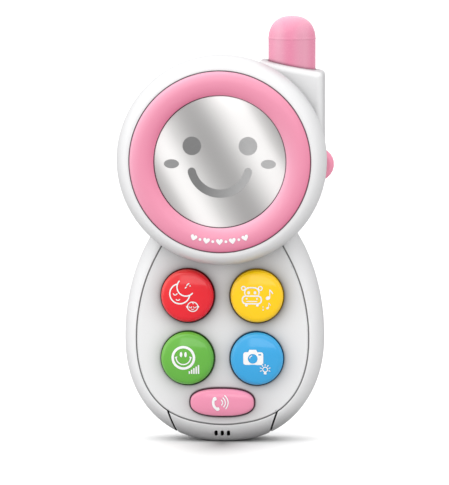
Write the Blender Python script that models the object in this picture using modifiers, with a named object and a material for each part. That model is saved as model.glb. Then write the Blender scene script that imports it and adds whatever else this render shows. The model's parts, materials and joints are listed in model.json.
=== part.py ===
"""Toy cell phone with a sliding mirror disc, built as an assembly of separate named parts.

Frame: +Z runs up the phone to the antenna, the keypad and the mirror face -Y, the battery door
faces +Y, and +X is on the right seen from the keypad side. The origin is the middle of the small
flat under the chin, on the parting plane of the two case halves.
Dimensions are in millimetres and are turned into metres when a mesh or a curve is made.
A place is an (x, z) pair, a range is a (low, high) pair, and side is -1 for left, 1 for right.
"""
import math

import bmesh
import bpy
import numpy as np
from mathutils import Matrix, Vector

MM = 0.001
SHARP_ANGLE = math.radians(35)
SIDES = (-1, 1)

# ------------------------------------------------------------------ driving dimensions
# case outline, seen from the front
EGG_Z, EGG_HALF_WIDTH = 39.6, 37.7      # widest point of the keypad half
EGG_DOWN, EGG_UP = 40.25, 56.7          # semi-heights below and above the widest point
EGG_POWER = 2.2                         # superellipse power of the lower half
HEAD_Z, HEAD_R = 107.7, 37.9            # round head of the case
WAIST_BLEND = 3.0
SHOULDER_X = HEAD_R                     # straight right wall of the antenna shoulder
SHOULDER_TOP = ((14.6, 144.86), (SHOULDER_X, 140.44))
SHOULDER_CORNER_R = 1.9
STEP_X = 12.9                           # the head's arc ends here, at the step up to the shoulder
STEP_POINTS = ((13.25, 143.75), (13.6, 144.35), (14.05, 144.72))
OUTLINE_STEPS = 76
DENSE_STEPS = 1800

# case depth
PART_GAP = 0.15                         # each half stops this short of the parting plane
BACK_Y, BACK_IN_Y = 14.0, 12.0
BACK_ROUND, BACK_ROUND_Y = 6.0, 3.0     # inset of the rear edge round, and where it starts
FRONT_Y, FRONT_IN_Y = -12.2, -10.4
CROWN, CROWN_HALF_WIDTH = 0.8, 33.0     # bulge of the keypad face at its middle
WALL = 2.0
POST_ROOT_Y = -11.3                     # posts start here, sunk in the front wall
WIDE = (-60.0, 60.0)                    # range across more than the whole case
BELOW_FOOT = (-5.0, 0.0)                # range in Z that is cut off to make the foot

# gaps round the side grips
GROOVE = 0.36                           # gap between the keypad face and the side grips
GRIP_TOP_Z = 84.0                       # the side grips end here, under the disc
SLIT_TOP, SLIT_LOW = (20.9, 11.2), (18.4, 4.2)  # the cuts between grips and chin
SLIT_SLACK = 0.35

# buttons
KEY_X, KEY_Z = 13.2, (55.9, 32.1)
KEY_R, KEY_HOLE_R, KEY_FLANGE_R = 10.0, 10.5, 11.1
KEY_TOP_Y = -16.6
KEY_PLACES = [(x, z) for z in KEY_Z for x in (-KEY_X, KEY_X)]
CALL_Z, CALL_HALF_X, CALL_HALF_Z, CALL_POWER = 15.3, 12.05, 5.15, 2.8
CALL_GAP, CALL_STEPS = 0.5, 28
CALL_TOP_Y = -15.7
FLANGE_Y = (-10.1, -9.1)                # flange shared by the round keys and the call button
BUTTON_FOOT_Y = -8.9

# sliding disc
DISC_BACK_Y, BASE_FRONT_Y, BASE_R = -13.7, -18.8, 36.6
BEZEL_OUT, BEZEL_CREST, BEZEL_IN, MIRROR_R = 34.1, 28.9, 25.1, 24.8
SEAT_Y, BEZEL_BACK_Y, MIRROR_Y = -23.4, -23.6, -25.2
SLIDE_TRAVEL, SLIDE_GAP = 46.0, 0.6
NECK_X, NECK_Z = 13.2, 84.0             # necks on the case that carry the slide
NECK_HALF_X, NECK_HALF_Z = 3.0, 4.0
NECK_PLACES = [(side * NECK_X, NECK_Z) for side in SIDES]
CHANNEL_IN, CHANNEL_OUT, CHANNEL_Y = 2.9, 24.4, (-17.2, -12.0)
CHANNEL_REACH = 45.0

# antenna, side wheel, speaker, battery box, power switch
ANTENNA_X, ANTENNA_R, ANTENNA_SEAM_Z, ANTENNA_TOP_Z = 25.5, 8.95, 152.9, 161.3
WHEEL_X, WHEEL_Z, WHEEL_R, WHEEL_HALF = 35.1, 105.0, 6.4, 2.5
WHEEL_WINDOW_X, WHEEL_WINDOW_HALF_Z = (30.0, 42.0), 6.7
WHEEL_PLACE = (WHEEL_X, WHEEL_Z)
WHEEL_BOSS = (WHEEL_X - 0.6, WHEEL_Z)
SPEAKER_Z, SPEAKER_R = 108.0, 18.0
CELL_R, CELL_LENGTH, CELL_X, CELL_Y = 5.2, 44.5, 6.1, 6.8
BOX_X, BOX_Z, BOX_WALL = 12.2, (13.0, 64.2), 1.4
DOOR_X, DOOR_Z, DOOR_GAP = 14.5, (7.3, 70.3), 0.3
SWITCH_Z, KNOB_X = 79.1, -1.8

# places of the screws and posts
CASE_SCREWS = (
    (-25.0, 127.0), (9.0, 136.3), (-19.3, 86.2), (19.3, 86.2), (-26.8, 24.5), (26.8, 24.5),
)
BOARD_SCREWS = ((0.0, 67.6), (-19.5, 16.6), (19.5, 16.6))
BOARD_POSTS = ((-28.0, 44.0), (28.0, 44.0))
BOARD_POST_Y = (POST_ROOT_Y, -6.35)
BASE_SCREWS = [(x, HEAD_Z + dz) for dz in (-12.0, 12.0) for x in (-29.0, 29.0)]
DOOR_SCREWS = ((0.0, 67.3), (0.0, 10.3))


# ------------------------------------------------------------------ scene and materials
for old in list(bpy.data.objects):
    bpy.data.objects.remove(old, do_unlink=True)

PARTS = bpy.data.collections.new("toy_phone")
bpy.context.scene.collection.children.link(PARTS)


def material(name, rgb, roughness, metallic=0.0):
    mat = bpy.data.materials.new(name)
    mat.use_nodes = True
    shader = mat.node_tree.nodes["Principled BSDF"]
    shader.inputs["Base Color"].default_value = (*rgb, 1.0)
    shader.inputs["Roughness"].default_value = roughness
    shader.inputs["Metallic"].default_value = metallic
    mat.diffuse_color = (*rgb, 1.0)
    return mat


WHITE = material("white_abs", rgb=(0.86, 0.86, 0.87), roughness=0.28)
PINK = material("pink_abs", rgb=(0.90, 0.36, 0.50), roughness=0.25)
PINK_SOFT = material("pink_silicone", rgb=(0.90, 0.42, 0.55), roughness=0.30)
RED = material("red_abs", rgb=(0.82, 0.05, 0.05), roughness=0.22)
YELLOW = material("yellow_abs", rgb=(0.95, 0.62, 0.02), roughness=0.22)
GREEN = material("green_abs", rgb=(0.16, 0.50, 0.08), roughness=0.22)
BLUE = material("blue_abs", rgb=(0.05, 0.40, 0.80), roughness=0.22)
MIRROR = material("mirror_film", rgb=(0.80, 0.80, 0.80), roughness=0.06, metallic=1.0)
RUBBER = material("grey_silicone", rgb=(0.45, 0.46, 0.47), roughness=0.60)
BOARD = material("board_green", rgb=(0.03, 0.22, 0.10), roughness=0.45)
BLACK = material("black_epoxy", rgb=(0.02, 0.02, 0.02), roughness=0.30)
STEEL = material("zinc_steel", rgb=(0.62, 0.62, 0.64), roughness=0.30, metallic=1.0)
PAPER = material("speaker_paper", rgb=(0.08, 0.08, 0.09), roughness=0.85)
CELL = material("cell_jacket", rgb=(0.10, 0.12, 0.14), roughness=0.40)
LAMP = material("lamp_epoxy", rgb=(0.92, 0.92, 0.88), roughness=0.08)
WIRE_RED = material("wire_red", rgb=(0.65, 0.04, 0.04), roughness=0.45)
WIRE_BLACK = material("wire_black", rgb=(0.03, 0.03, 0.03), roughness=0.45)
WIRE_BLUE = material("wire_blue", rgb=(0.05, 0.12, 0.55), roughness=0.45)
SWITCH = material("switch_black", rgb=(0.04, 0.04, 0.045), roughness=0.40)


# ------------------------------------------------------------------ shape helpers
def around(centre, half):
    """The range that reaches half to each side of centre."""
    return centre - half, centre + half


def span(side, inner, outer):
    """The range in X between two distances from the middle, on one side."""
    return tuple(sorted((side * inner, side * outer)))


def shade(mesh):
    mesh.shade_smooth()
    mesh.set_sharp_from_angle(angle=SHARP_ANGLE)


def evaluated_mesh(obj):
    """A new mesh of obj with its modifiers applied."""
    bpy.context.view_layer.update()
    depsgraph = bpy.context.evaluated_depsgraph_get()
    return bpy.data.meshes.new_from_object(obj.evaluated_get(depsgraph))


def finish(bm, name, mat):
    """Turns a bmesh in millimetres into an object in metres, with outward normals."""
    bmesh.ops.remove_doubles(bm, verts=bm.verts, dist=1e-4)
    bmesh.ops.recalc_face_normals(bm, faces=bm.faces)
    bmesh.ops.scale(bm, vec=Vector((MM, MM, MM)), verts=bm.verts)
    mesh = bpy.data.meshes.new(name)
    bm.to_mesh(mesh)
    bm.free()
    obj = bpy.data.objects.new(name, mesh)
    PARTS.objects.link(obj)
    if mat is not None:
        mesh.materials.append(mat)
    shade(mesh)
    return obj


def loft(rings, name="cutter", mat=None, closed=False):
    """Skins rings of equally many points. The end rings are capped, or joined if closed."""
    bm = bmesh.new()
    rows = [[bm.verts.new(point) for point in points] for points in rings]
    count = len(rows[0])
    pairs = list(zip(rows, rows[1:]))
    if closed:
        pairs.append((rows[-1], rows[0]))
    for row, following in pairs:
        for i in range(count):
            j = (i + 1) % count
            bm.faces.new((row[i], row[j], following[j], following[i]))
    if not closed:
        bm.faces.new(rows[0][::-1])
        bm.faces.new(rows[-1])
    return finish(bm, name, mat)


def prism(plan, y_range, name="cutter", mat=None):
    """A flat outline of places, extruded along Y."""
    start, end = y_range
    bm = bmesh.new()
    face = bm.faces.new([bm.verts.new((x, start, z)) for x, z in plan])
    grown = bmesh.ops.extrude_face_region(bm, geom=[face])
    far_verts = [item for item in grown["geom"] if isinstance(item, bmesh.types.BMVert)]
    bmesh.ops.translate(bm, vec=(0, end - start, 0), verts=far_verts)
    return finish(bm, name, mat)


def block(x_range, y_range, z_range, name="cutter", mat=None, bevel=0.0):
    ranges = (x_range, y_range, z_range)
    bm = bmesh.new()
    bmesh.ops.create_cube(bm, size=1.0)
    bmesh.ops.scale(bm, vec=[high - low for low, high in ranges], verts=bm.verts)
    bmesh.ops.translate(bm, vec=[(low + high) / 2 for low, high in ranges], verts=bm.verts)
    if bevel:
        bmesh.ops.bevel(
            bm, geom=bm.edges[:], offset=bevel, segments=1, affect="EDGES", profile=0.5
        )
    return finish(bm, name, mat)


def rod(place, radius, y_range, steps, name="cutter", mat=None):
    """A round bar along Y."""
    x, z = place
    start, end = y_range
    turn = Matrix.Rotation(math.radians(-90), 4, "X")
    bm = bmesh.new()
    bmesh.ops.create_cone(
        bm, cap_ends=True, segments=steps, radius1=radius, radius2=radius, depth=end - start,
        matrix=Matrix.Translation((x, (start + end) / 2, z)) @ turn,
    )
    return finish(bm, name, mat)


def rods(places, radius, y_range, steps):
    return [rod(place, radius, y_range, steps) for place in places]


def turned(profile, centre, steps, name="cutter", mat=None, axis="Y", closed=False):
    """Spins a profile of (radius, height along the axis) points about an axis through centre."""
    mesh = bpy.data.meshes.new(name)
    if axis == "Y":
        points = [(radius * MM, height * MM, 0.0) for radius, height in profile]
    else:
        points = [(radius * MM, 0.0, height * MM) for radius, height in profile]
    edges = [(i, i + 1) for i in range(len(points) - 1)]
    if closed:
        edges.append((len(points) - 1, 0))
    mesh.from_pydata(points, edges, [])
    obj = bpy.data.objects.new(name, mesh)
    PARTS.objects.link(obj)
    spin = obj.modifiers.new("spin", "SCREW")
    spin.axis = axis
    spin.steps = spin.render_steps = steps
    spin.use_merge_vertices = True
    spin.merge_threshold = 1e-6
    made = evaluated_mesh(obj)
    bpy.data.objects.remove(obj, do_unlink=True)
    bm = bmesh.new()
    bm.from_mesh(made)
    bpy.data.meshes.remove(made)
    bmesh.ops.scale(bm, vec=Vector((1000.0, 1000.0, 1000.0)), verts=bm.verts)
    bmesh.ops.translate(bm, vec=Vector(centre), verts=bm.verts)
    return finish(bm, name, mat)


def tube(name, mat, radius, points):
    """A curve object of round section through the points."""
    curve = bpy.data.curves.new(name, "CURVE")
    curve.dimensions = "3D"
    curve.bevel_depth = radius * MM
    curve.bevel_resolution = 1
    curve.use_fill_caps = True
    line = curve.splines.new("POLY")
    line.points.add(len(points) - 1)
    for i, (x, y, z) in enumerate(points):
        line.points[i].co = (x * MM, y * MM, z * MM, 1.0)
    PARTS.objects.link(bpy.data.objects.new(name, curve))
    curve.materials.append(mat)


def combine(obj, tools, operation):
    """Applies one boolean per tool, in order, and removes the tools."""
    for tool in tools:
        step = obj.modifiers.new(operation.lower(), "BOOLEAN")
        step.operation = operation
        step.object = tool
        made = evaluated_mesh(obj)
        obj.modifiers.clear()
        old_mesh = obj.data
        obj.data = made
        bpy.data.meshes.remove(old_mesh)
        shade(made)
        bpy.data.objects.remove(tool, do_unlink=True)
    return obj


def cut(obj, *tools):
    return combine(obj, tools, "DIFFERENCE")


def join(obj, *tools):
    return combine(obj, tools, "UNION")


def keep(obj, tool):
    return combine(obj, [tool], "INTERSECT")


def set_origin(obj, x, z):
    """Moves the object's origin to the axis along Y at (x, z) without moving its mesh."""
    shift = Vector((x * MM, 0.0, z * MM))
    obj.data.transform(Matrix.Translation(-shift))
    obj.location = shift


# ------------------------------------------------------------------ case outline
def egg_half(z):
    """Half width of the keypad half at height z."""
    t = (z - EGG_Z) / (EGG_UP if z > EGG_Z else EGG_DOWN)
    power = 2.0 if z > EGG_Z else EGG_POWER
    return EGG_HALF_WIDTH * max(0.0, 1.0 - abs(t) ** power) ** (1.0 / power)


def head_half(z):
    return math.sqrt(max(0.0, HEAD_R**2 - (z - HEAD_Z) ** 2))


def case_half(z):
    """Half width of the case, with the waist between keypad half and head blended."""
    egg, head = egg_half(z), head_half(z)
    return max(egg, head) + max(WAIST_BLEND - abs(egg - head), 0.0) ** 2 / (4 * WAIST_BLEND)


def roof_slope():
    (x0, z0), (x1, z1) = SHOULDER_TOP
    return (z1 - z0) / (x1 - x0)


def roof_z(x):
    """Height of the slanted roof of the antenna shoulder."""
    x0, z0 = SHOULDER_TOP[0]
    return z0 + roof_slope() * (x - x0)


def left_side():
    points = []
    for a in np.linspace(0.0, math.pi / 2, 90):
        z = EGG_Z - EGG_DOWN * math.cos(a)
        points.append((-egg_half(z), z))
    for z in np.linspace(EGG_Z, HEAD_Z, 260)[1:]:
        points.append((-case_half(z), z))
    for a in np.linspace(0.0, math.pi / 2, 110)[1:]:
        points.append((-HEAD_R * math.cos(a), HEAD_Z + HEAD_R * math.sin(a)))
    return points


def antenna_shoulder():
    """From the top of the head over the step, the roof and its corner, and down the right wall."""
    points = []
    for a in np.linspace(0.0, math.asin(STEP_X / HEAD_R), 30)[1:]:
        points.append((HEAD_R * math.sin(a), HEAD_Z + HEAD_R * math.cos(a)))
    points += STEP_POINTS
    tilt = math.atan(roof_slope())
    radius = SHOULDER_CORNER_R
    centre_x = SHOULDER_X - radius
    centre_z = roof_z(centre_x) - radius / math.cos(tilt)
    for x in np.linspace(SHOULDER_TOP[0][0], centre_x + radius * math.sin(-tilt), 40):
        points.append((x, roof_z(x)))
    for a in np.linspace(math.pi / 2 + tilt, 0.0, 12)[1:]:
        points.append((centre_x + radius * math.cos(a), centre_z + radius * math.sin(a)))
    for z in np.linspace(centre_z, HEAD_Z, 60)[1:-1]:
        points.append((SHOULDER_X, z))
    return points


def loop_steps(points):
    """Distance from each point of a closed loop to the next."""
    return np.hypot(*np.diff(np.vstack([points, points[:1]]), axis=0).T)


def dense_outline():
    """Evenly spaced places along the case outline, and how far round it each one is (0 to 1).

    The loop runs from the chin up the left side, over the top and down the right."""
    left = left_side()
    right = [(-x, z) for x, z in reversed(left) if z <= HEAD_Z]
    points = np.array(left + antenna_shoulder() + right)
    points = points[loop_steps(points) > 1e-6]
    run = np.concatenate([[0.0], np.cumsum(loop_steps(points))])
    t = np.linspace(0.0, run[-1], DENSE_STEPS + 1)[:-1]
    x = np.interp(t, run, np.append(points[:, 0], points[0, 0]))
    z = np.interp(t, run, np.append(points[:, 1], points[0, 1]))
    return np.c_[x, z], t / run[-1]


OUTLINE, OUTLINE_T = dense_outline()
TANGENT = np.roll(OUTLINE, -3, axis=0) - np.roll(OUTLINE, 3, axis=0)
TANGENT /= np.hypot(*TANGENT.T)[:, None]
# the loop runs clockwise seen from the front, so inward is to the right of the tangent
INWARD = np.c_[TANGENT[:, 1], -TANGENT[:, 0]]


def nearest_t(place):
    x, z = place
    return OUTLINE_T[np.argmin(np.hypot(OUTLINE[:, 0] - x, OUTLINE[:, 1] - z))]


def stations(count):
    """Where count points sit along the outline: evenly, with extra ones at the shoulder."""
    corner = nearest_t((37.4, 140.0))
    step = nearest_t(STEP_POINTS[1])
    extra = [corner + offset for offset in (-0.0045, -0.0015, 0.0015, 0.0045)]
    extra += [step + offset for offset in (-0.004, -0.0013, 0.0013, 0.004)]
    even_count = count - len(extra)
    even = (np.arange(even_count) + 0.5) / even_count
    return np.sort(np.concatenate([even, extra]))


def inset(distance, count=OUTLINE_STEPS):
    """The outline moved inwards by distance (a number, or one per dense point), as count points.

    Where a corner is tighter than the distance, the points that would cross over are bridged."""
    distance = np.broadcast_to(np.asarray(distance, float), (len(OUTLINE),))
    moved = OUTLINE + INWARD * distance[:, None]
    nearest = np.full(len(moved), np.inf)
    chunk = 200  # keeps the table of distances small
    for start in range(0, len(moved), chunk):
        gap = moved[start : start + chunk, None, :] - OUTLINE[None, :, :]
        nearest[start : start + chunk] = np.sqrt((gap**2).sum(2)).min(1)
    good = nearest >= distance - 0.004 - 0.002 * distance
    kept = moved[good]
    run = np.concatenate([[0.0], np.cumsum(loop_steps(kept))])
    kept_t = np.concatenate([OUTLINE_T[good], [OUTLINE_T[good][0] + 1.0]])
    s = np.interp(stations(count), kept_t, run)
    for _ in range(3):  # keeps the points that meet in a corner a little apart
        for i in range(1, count):
            s[i] = max(s[i], s[i - 1] + 0.08)
        for i in range(count - 1, 0, -1):
            s[i - 1] = min(s[i - 1], s[i] - 0.08)
        s[1:] = np.maximum(s[1:], s[:-1] + 0.079)
    loop = np.vstack([kept, kept[:1]])
    return np.c_[np.interp(s, run, loop[:, 0]), np.interp(s, run, loop[:, 1])]


def by_height(z, table):
    return np.interp(z, [height for height, _ in table], [value for _, value in table])


# (z, inset of the front's rounded rim from the outline)
RIM_WIDTH = (
    (0, 7.4), (4, 6.5), (11, 5.3), (20, 5.0), (45, 5.0),
    (60, 5.3), (73, 5.8), (84, 5.8), (92, 2.4), (170, 2.4),
)
# (z, y where the rounding of the front starts)
RIM_START = ((0, -3.0), (76, -3.0), (92, -9.6), (170, -9.6))
RIM = by_height(OUTLINE[:, 1], RIM_WIDTH)


def ring(flat, y):
    """Places lifted to 3-D at y, a number or one value per place."""
    y = np.broadcast_to(np.asarray(y, float), (len(flat),))
    return [(x, depth, z) for (x, z), depth in zip(flat, y)]


def band(distance, inner_distance, y_range):
    """A closed wall that follows the outline between two insets."""
    outer, inner = inset(distance), inset(inner_distance)
    start, end = y_range
    rings = [ring(outer, start), ring(inner, start), ring(inner, end), ring(outer, end)]
    return loft(rings, closed=True)


def quarter(degrees):
    """Shares of the full inset and the full depth that a quarter round has reached."""
    a = math.radians(degrees)
    return 1 - math.cos(a), math.sin(a)


# ------------------------------------------------------------------ features both halves share
SOCKET_OUT_R, SOCKET_IN_R, SOCKET_LOW_Z = 10.3, 9.3, 135.5


def socket(side_y):
    """Half of the tube round the antenna's neck, with its top following the slanted roof."""
    angles = np.linspace(0.0, math.pi, 15)
    low, high = [], []
    for radius, order in ((SOCKET_OUT_R, angles), (SOCKET_IN_R, angles[::-1])):
        for a in order:
            x = ANTENNA_X + radius * math.cos(a)
            y = side_y * max(radius * math.sin(a), 0.3)
            low.append((x, y, SOCKET_LOW_Z))
            high.append((x, y, roof_z(min(x, 37.0)) - 0.9))
    return loft([low, high])


def antenna_bore(radius, z_range, steps):
    low, high = z_range
    profile = [(0, low), (radius, low), (radius, high), (0, high)]
    return turned(profile, (ANTENNA_X, 0, 0), steps, axis="Z")


def antenna_hole():
    return antenna_bore(ANTENNA_R + 0.3, (130.0, 150.0), 32)


def shelf(y_range):
    """The shelf under the antenna, with a hole for the lamp."""
    plate = block((14.6, 36.6), y_range, (130.4, 132.0))
    return cut(plate, antenna_bore(6.0, (129, 133.5), 20))


def wheel_window(y_range):
    return block(WHEEL_WINDOW_X, y_range, around(WHEEL_Z, WHEEL_WINDOW_HALF_Z))


# ------------------------------------------------------------------ front shell and side grips
def crown(x):
    """Y of the bulging keypad face."""
    bulge = np.clip(1.0 - (np.asarray(x) / CROWN_HALF_WIDTH) ** 2, 0.0, 1.0)
    return FRONT_Y - CROWN * bulge


def front_blank(name):
    """Keypad face, chin, head and grips in one."""
    rings = []
    start = by_height(inset(0.0)[:, 1], RIM_START)
    # inside, from the middle of the front wall out and back to the parting plane
    for degrees in (90, 52, 0):
        inward, forward = quarter(degrees)
        flat = inset(WALL + (RIM - 1.0) * inward)
        rings.append(ring(flat, start + (FRONT_IN_Y - start) * forward))
    rings.append(ring(inset(WALL), -PART_GAP))
    # outside, from the parting plane to the front
    rings.append(ring(inset(0.0), -PART_GAP))
    for degrees in (0, 24, 46, 68, 90):
        inward, forward = quarter(degrees)
        flat = inset(RIM * inward)
        rings.append(ring(flat, start + (crown(flat[:, 0]) - start) * forward))
    for further in (8.0, 20.0):
        flat = inset(RIM + further)
        rings.append(ring(flat, crown(flat[:, 0])))
    middle = inset(RIM + 20.4)
    rings.append(ring(middle, crown(middle[:, 0]).mean()))
    return loft(rings, name, WHITE)


def grip_region(side, edge, slack):
    """The plan of one side grip: outside the keypad face, between the chin and the head."""
    curve = inset(RIM + edge, 240)
    curve = curve[(curve[:, 0] * side > 0) & (curve[:, 1] < 100)]
    curve = curve[np.argsort(np.arctan2(curve[:, 1] - 45.0, np.abs(curve[:, 0])))]
    (top_x, top_z), (low_x, low_z) = SLIT_TOP, SLIT_LOW
    lean = (top_x - low_x) / (top_z - low_z)

    def slit(z):
        return low_x + lean * (z - low_z) - slack

    # the curve is followed from where it crosses the slit
    past = np.abs(curve[:, 0]) - slit(curve[:, 1])
    k = int(np.argmax(past > 0))
    start = curve[k] + (curve[k - 1] - curve[k]) * past[k] / (past[k] - past[k - 1])
    top = GRIP_TOP_Z + slack
    rest = [p for p in curve[k:] if p[1] < top - 0.2 and math.dist(p, start) > 0.3]
    beyond_x, below_z = side * 50.0, -4.0
    plan = [(side * slit(below_z), below_z), tuple(start)] + [tuple(p) for p in rest]
    plan += [(rest[-1][0], top), (beyond_x, top), (beyond_x, below_z)]
    return prism(plan, (-16.0, 2.0))


def side_grip(side, name):
    grip = keep(front_blank(name), grip_region(side, -GROOVE / 2, 0.0))
    for z in (26.0, 54.0):  # stiffening ribs inside
        half = case_half(z)
        join(grip, block(span(side, half - 4.6, half - 1.2), (-8.4, -1.0), around(z, 0.7)))


def superellipse(half_x, half_z, power, count):
    points = []
    for k in range(count):
        t = 2 * math.pi * k / count
        c, s = math.cos(t), math.sin(t)
        x = half_x * math.copysign(abs(c) ** (2 / power), c)
        z = half_z * math.copysign(abs(s) ** (2 / power), s)
        points.append((x, z))
    return points


def call_outline(grow):
    flat = superellipse(CALL_HALF_X + grow, CALL_HALF_Z + grow, CALL_POWER, CALL_STEPS)
    return [(x, CALL_Z + z) for x, z in flat]


def chin_slot(x):
    """A small upright slot through the chin."""
    plan = []
    for a in np.linspace(0.2, 0.2 + 2 * math.pi, 11)[:-1]:
        z = 3.2 + math.copysign(0.5, math.sin(a)) + 0.6 * math.sin(a)
        plan.append((x + 0.65 * math.cos(a), z))
    return prism(plan, (-14.0, -2.2))


def front_outer_form():
    """The front blank less the foot, the grips and the crease, with its inner skirt."""
    shell = front_blank("front_shell")
    cut(shell, block(WIDE, (-25, 5), BELOW_FOOT))
    cut(shell, block(around(0, 3.3), (-1.7, 1.0), (-1.0, 2.0)))  # notch for the locating tab
    for side in SIDES:
        cut(shell, grip_region(side, GROOVE / 2, SLIT_SLACK))

    # the crease between keypad face and chin
    crease = band(RIM - GROOVE / 2, RIM + GROOVE / 2, (-14.0, -12.0))
    keep(crease, block((-24, 24), (-15, -11.6), (-5, 16)))
    cut(shell, crease)

    # a wall behind the edge of the keypad face closes the case inside the grips
    skirt = band(RIM + GROOVE / 2, RIM + 1.9, (-11.5, 1.0))
    keep(skirt, block(WIDE, (-14.0, -0.45), (3.2, 76.0)))
    return join(shell, skirt)


def front_shell():
    shell = front_outer_form()

    # posts, antenna socket, wheel boss
    join(shell, *rods(CASE_SCREWS, 2.8, (POST_ROOT_Y, -0.3), 16))
    join(shell, *rods(BOARD_SCREWS, 2.3, BOARD_POST_Y, 14))
    join(shell, *rods(BOARD_POSTS, 1.9, BOARD_POST_Y, 12))
    join(shell, socket(-1))
    join(shell, rod(WHEEL_BOSS, 2.3, (-10.7, -3.2), 16))

    # pedestals and necks that carry the slide
    for x, z in NECK_PLACES:
        join(shell, block(around(x, 4.6), (-16.9, -12.0), around(z, 5.5)))
        join(shell, block(around(x, NECK_HALF_X), (-19.0, -16.5), around(z, NECK_HALF_Z)))

    # openings
    cut(shell, *rods(KEY_PLACES, KEY_HOLE_R, (-16.0, -9.0), 32))
    cut(shell, prism(call_outline(CALL_GAP), (-16.0, -9.0)))
    cut(shell, antenna_hole())
    join(shell, shelf((-11.0, -0.3)))
    cut(shell, wheel_window((-3.0, 2.0)))
    cut(shell, rod(WHEEL_PLACE, 1.1, (-8.9, 1.0), 14))
    cut(shell, *rods(CASE_SCREWS, 1.5, (-9.2, 1.0), 12))
    cut(shell, *rods(BOARD_SCREWS, 1.1, (-10.0, -5.0), 10))
    cut(shell, *rods(NECK_PLACES, 1.2, (-20.0, -13.5), 12))
    for x in (-2.35, 0.0, 2.35):
        cut(shell, chin_slot(x))


# ------------------------------------------------------------------ rear shell
def rear_blank():
    rings = []
    for degrees in (90, 48, 0):  # inside
        inward, backward = quarter(degrees)
        flat = inset(WALL + (BACK_ROUND - 0.8) * inward)
        rings.append(ring(flat, BACK_ROUND_Y + (BACK_IN_Y - BACK_ROUND_Y) * backward))
    rings.append(ring(inset(WALL), PART_GAP))
    rings.append(ring(inset(0.0), PART_GAP))
    for degrees in (0, 22, 45, 68, 90):  # outside
        inward, backward = quarter(degrees)
        flat = inset(BACK_ROUND * inward)
        rings.append(ring(flat, BACK_ROUND_Y + (BACK_Y - BACK_ROUND_Y) * backward))
    return loft(rings, "rear_shell", WHITE)


def speaker_slot(dz):
    """A level slot with round ends, as long as the speaker is wide at that height."""
    half = math.sqrt(14.5**2 - dz**2) - 0.8
    end_r = 0.85
    plan = []
    for a in np.radians(np.arange(-75, 256, 30)):
        x = math.copysign(half, math.cos(a)) + end_r * math.cos(a)
        plan.append((x, SPEAKER_Z + dz + end_r * math.sin(a)))
    return prism(plan, (10.5, 16.0))


def rear_shell():
    shell = rear_blank()
    # locating tab across the parting plane, above the foot
    join(shell, block(around(0, 3.0), (-1.4, 2.0), (-1.0, 1.7)))
    cut(shell, block(WIDE, (-5, 25), BELOW_FOOT))

    # a flange under the door, then the deep battery box
    join(shell, block(around(0, 16.0), (9.6, 12.6), (6.4, 71.6)))
    box_z = (BOX_Z[0] - BOX_WALL, BOX_Z[1] + BOX_WALL)
    join(shell, block(around(0, BOX_X + BOX_WALL), (0.5, 10.4), box_z))
    join(shell, *rods(DOOR_SCREWS, 2.9, (3.0, 10.5), 16))
    join(shell, *rods(CASE_SCREWS, 4.2, (1.0, 12.8), 18))
    speaker_wall = [(18.5, 7.6), (19.9, 7.6), (19.9, 12.4), (18.5, 12.4)]
    join(shell, turned(speaker_wall, (0, 0, SPEAKER_Z), 40, closed=True))
    join(shell, socket(1))
    join(shell, rod(WHEEL_BOSS, 2.3, (3.2, 9.4), 16))

    # openings
    cut(shell, block(around(0, DOOR_X), (12.0, 16.0), DOOR_Z))
    cut(shell, block(around(0, BOX_X), (1.4, 13.0), BOX_Z))
    cut(shell, *rods(DOOR_SCREWS, 1.3, (4.5, 13.0), 12))
    cut(shell, antenna_hole())
    join(shell, shelf((0.3, 12.4)))
    cut(shell, wheel_window((-2.0, 3.0)))
    cut(shell, rod(WHEEL_PLACE, 1.1, (-1.0, 7.6), 14))
    for place in CASE_SCREWS:
        cut(shell, rod(place, 3.0, (4.4, 16.0), 20), rod(place, 1.7, (0.0, 6.0), 12))
    for k in range(-3, 4):
        cut(shell, speaker_slot(4.0 * k))
    # power switch window: a shallow recess, then the opening
    cut(shell, block(around(0, 4.6), (13.0, 16.0), around(SWITCH_Z, 2.5)))
    cut(shell, block(around(0, 3.7), (10.0, 14.0), around(SWITCH_Z, 1.6)))


# ------------------------------------------------------------------ buttons
KEYS = (
    ("red_button", RED), ("yellow_button", YELLOW), ("green_button", GREEN), ("blue_button", BLUE),
)
# (radius, y) from the middle of the top, over the edge and flange, to the hollow and its stem
KEY_EDGE_Y = KEY_TOP_Y + 1.5
KEY_PROFILE = (
    (0.0, KEY_TOP_Y), (5.2, KEY_TOP_Y + 0.33), (8.8, KEY_TOP_Y + 1.05),
    (9.7, KEY_EDGE_Y + 0.1), (KEY_R, KEY_EDGE_Y + 1.0), (KEY_R, FLANGE_Y[0]),
    (KEY_FLANGE_R, FLANGE_Y[0]), (KEY_FLANGE_R, FLANGE_Y[1]), (8.4, FLANGE_Y[1]),
    (8.4, -13.6), (3.0, -14.4), (3.0, BUTTON_FOOT_Y), (0.0, BUTTON_FOOT_Y),
)
# (growth of the outline, y) in the same order
CALL_RINGS = (
    (-4.8, CALL_TOP_Y), (-3.0, CALL_TOP_Y + 0.15), (-1.3, CALL_TOP_Y + 0.6),
    (-0.35, CALL_TOP_Y + 1.25), (0.0, CALL_TOP_Y + 2.1), (0.0, FLANGE_Y[0]),
    (1.0, FLANGE_Y[0]), (1.0, FLANGE_Y[1]), (-1.5, FLANGE_Y[1]),
    (-1.5, -13.4), (-2.9, -13.5), (-2.9, BUTTON_FOOT_Y),
)


def buttons():
    for (name, mat), (x, z) in zip(KEYS, KEY_PLACES):
        set_origin(turned(KEY_PROFILE, (x, 0, z), 26, name, mat), x, z)
    rings = [ring(call_outline(grow), y) for grow, y in CALL_RINGS]
    set_origin(loft(rings, "call_button", PINK), 0, CALL_Z)


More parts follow.
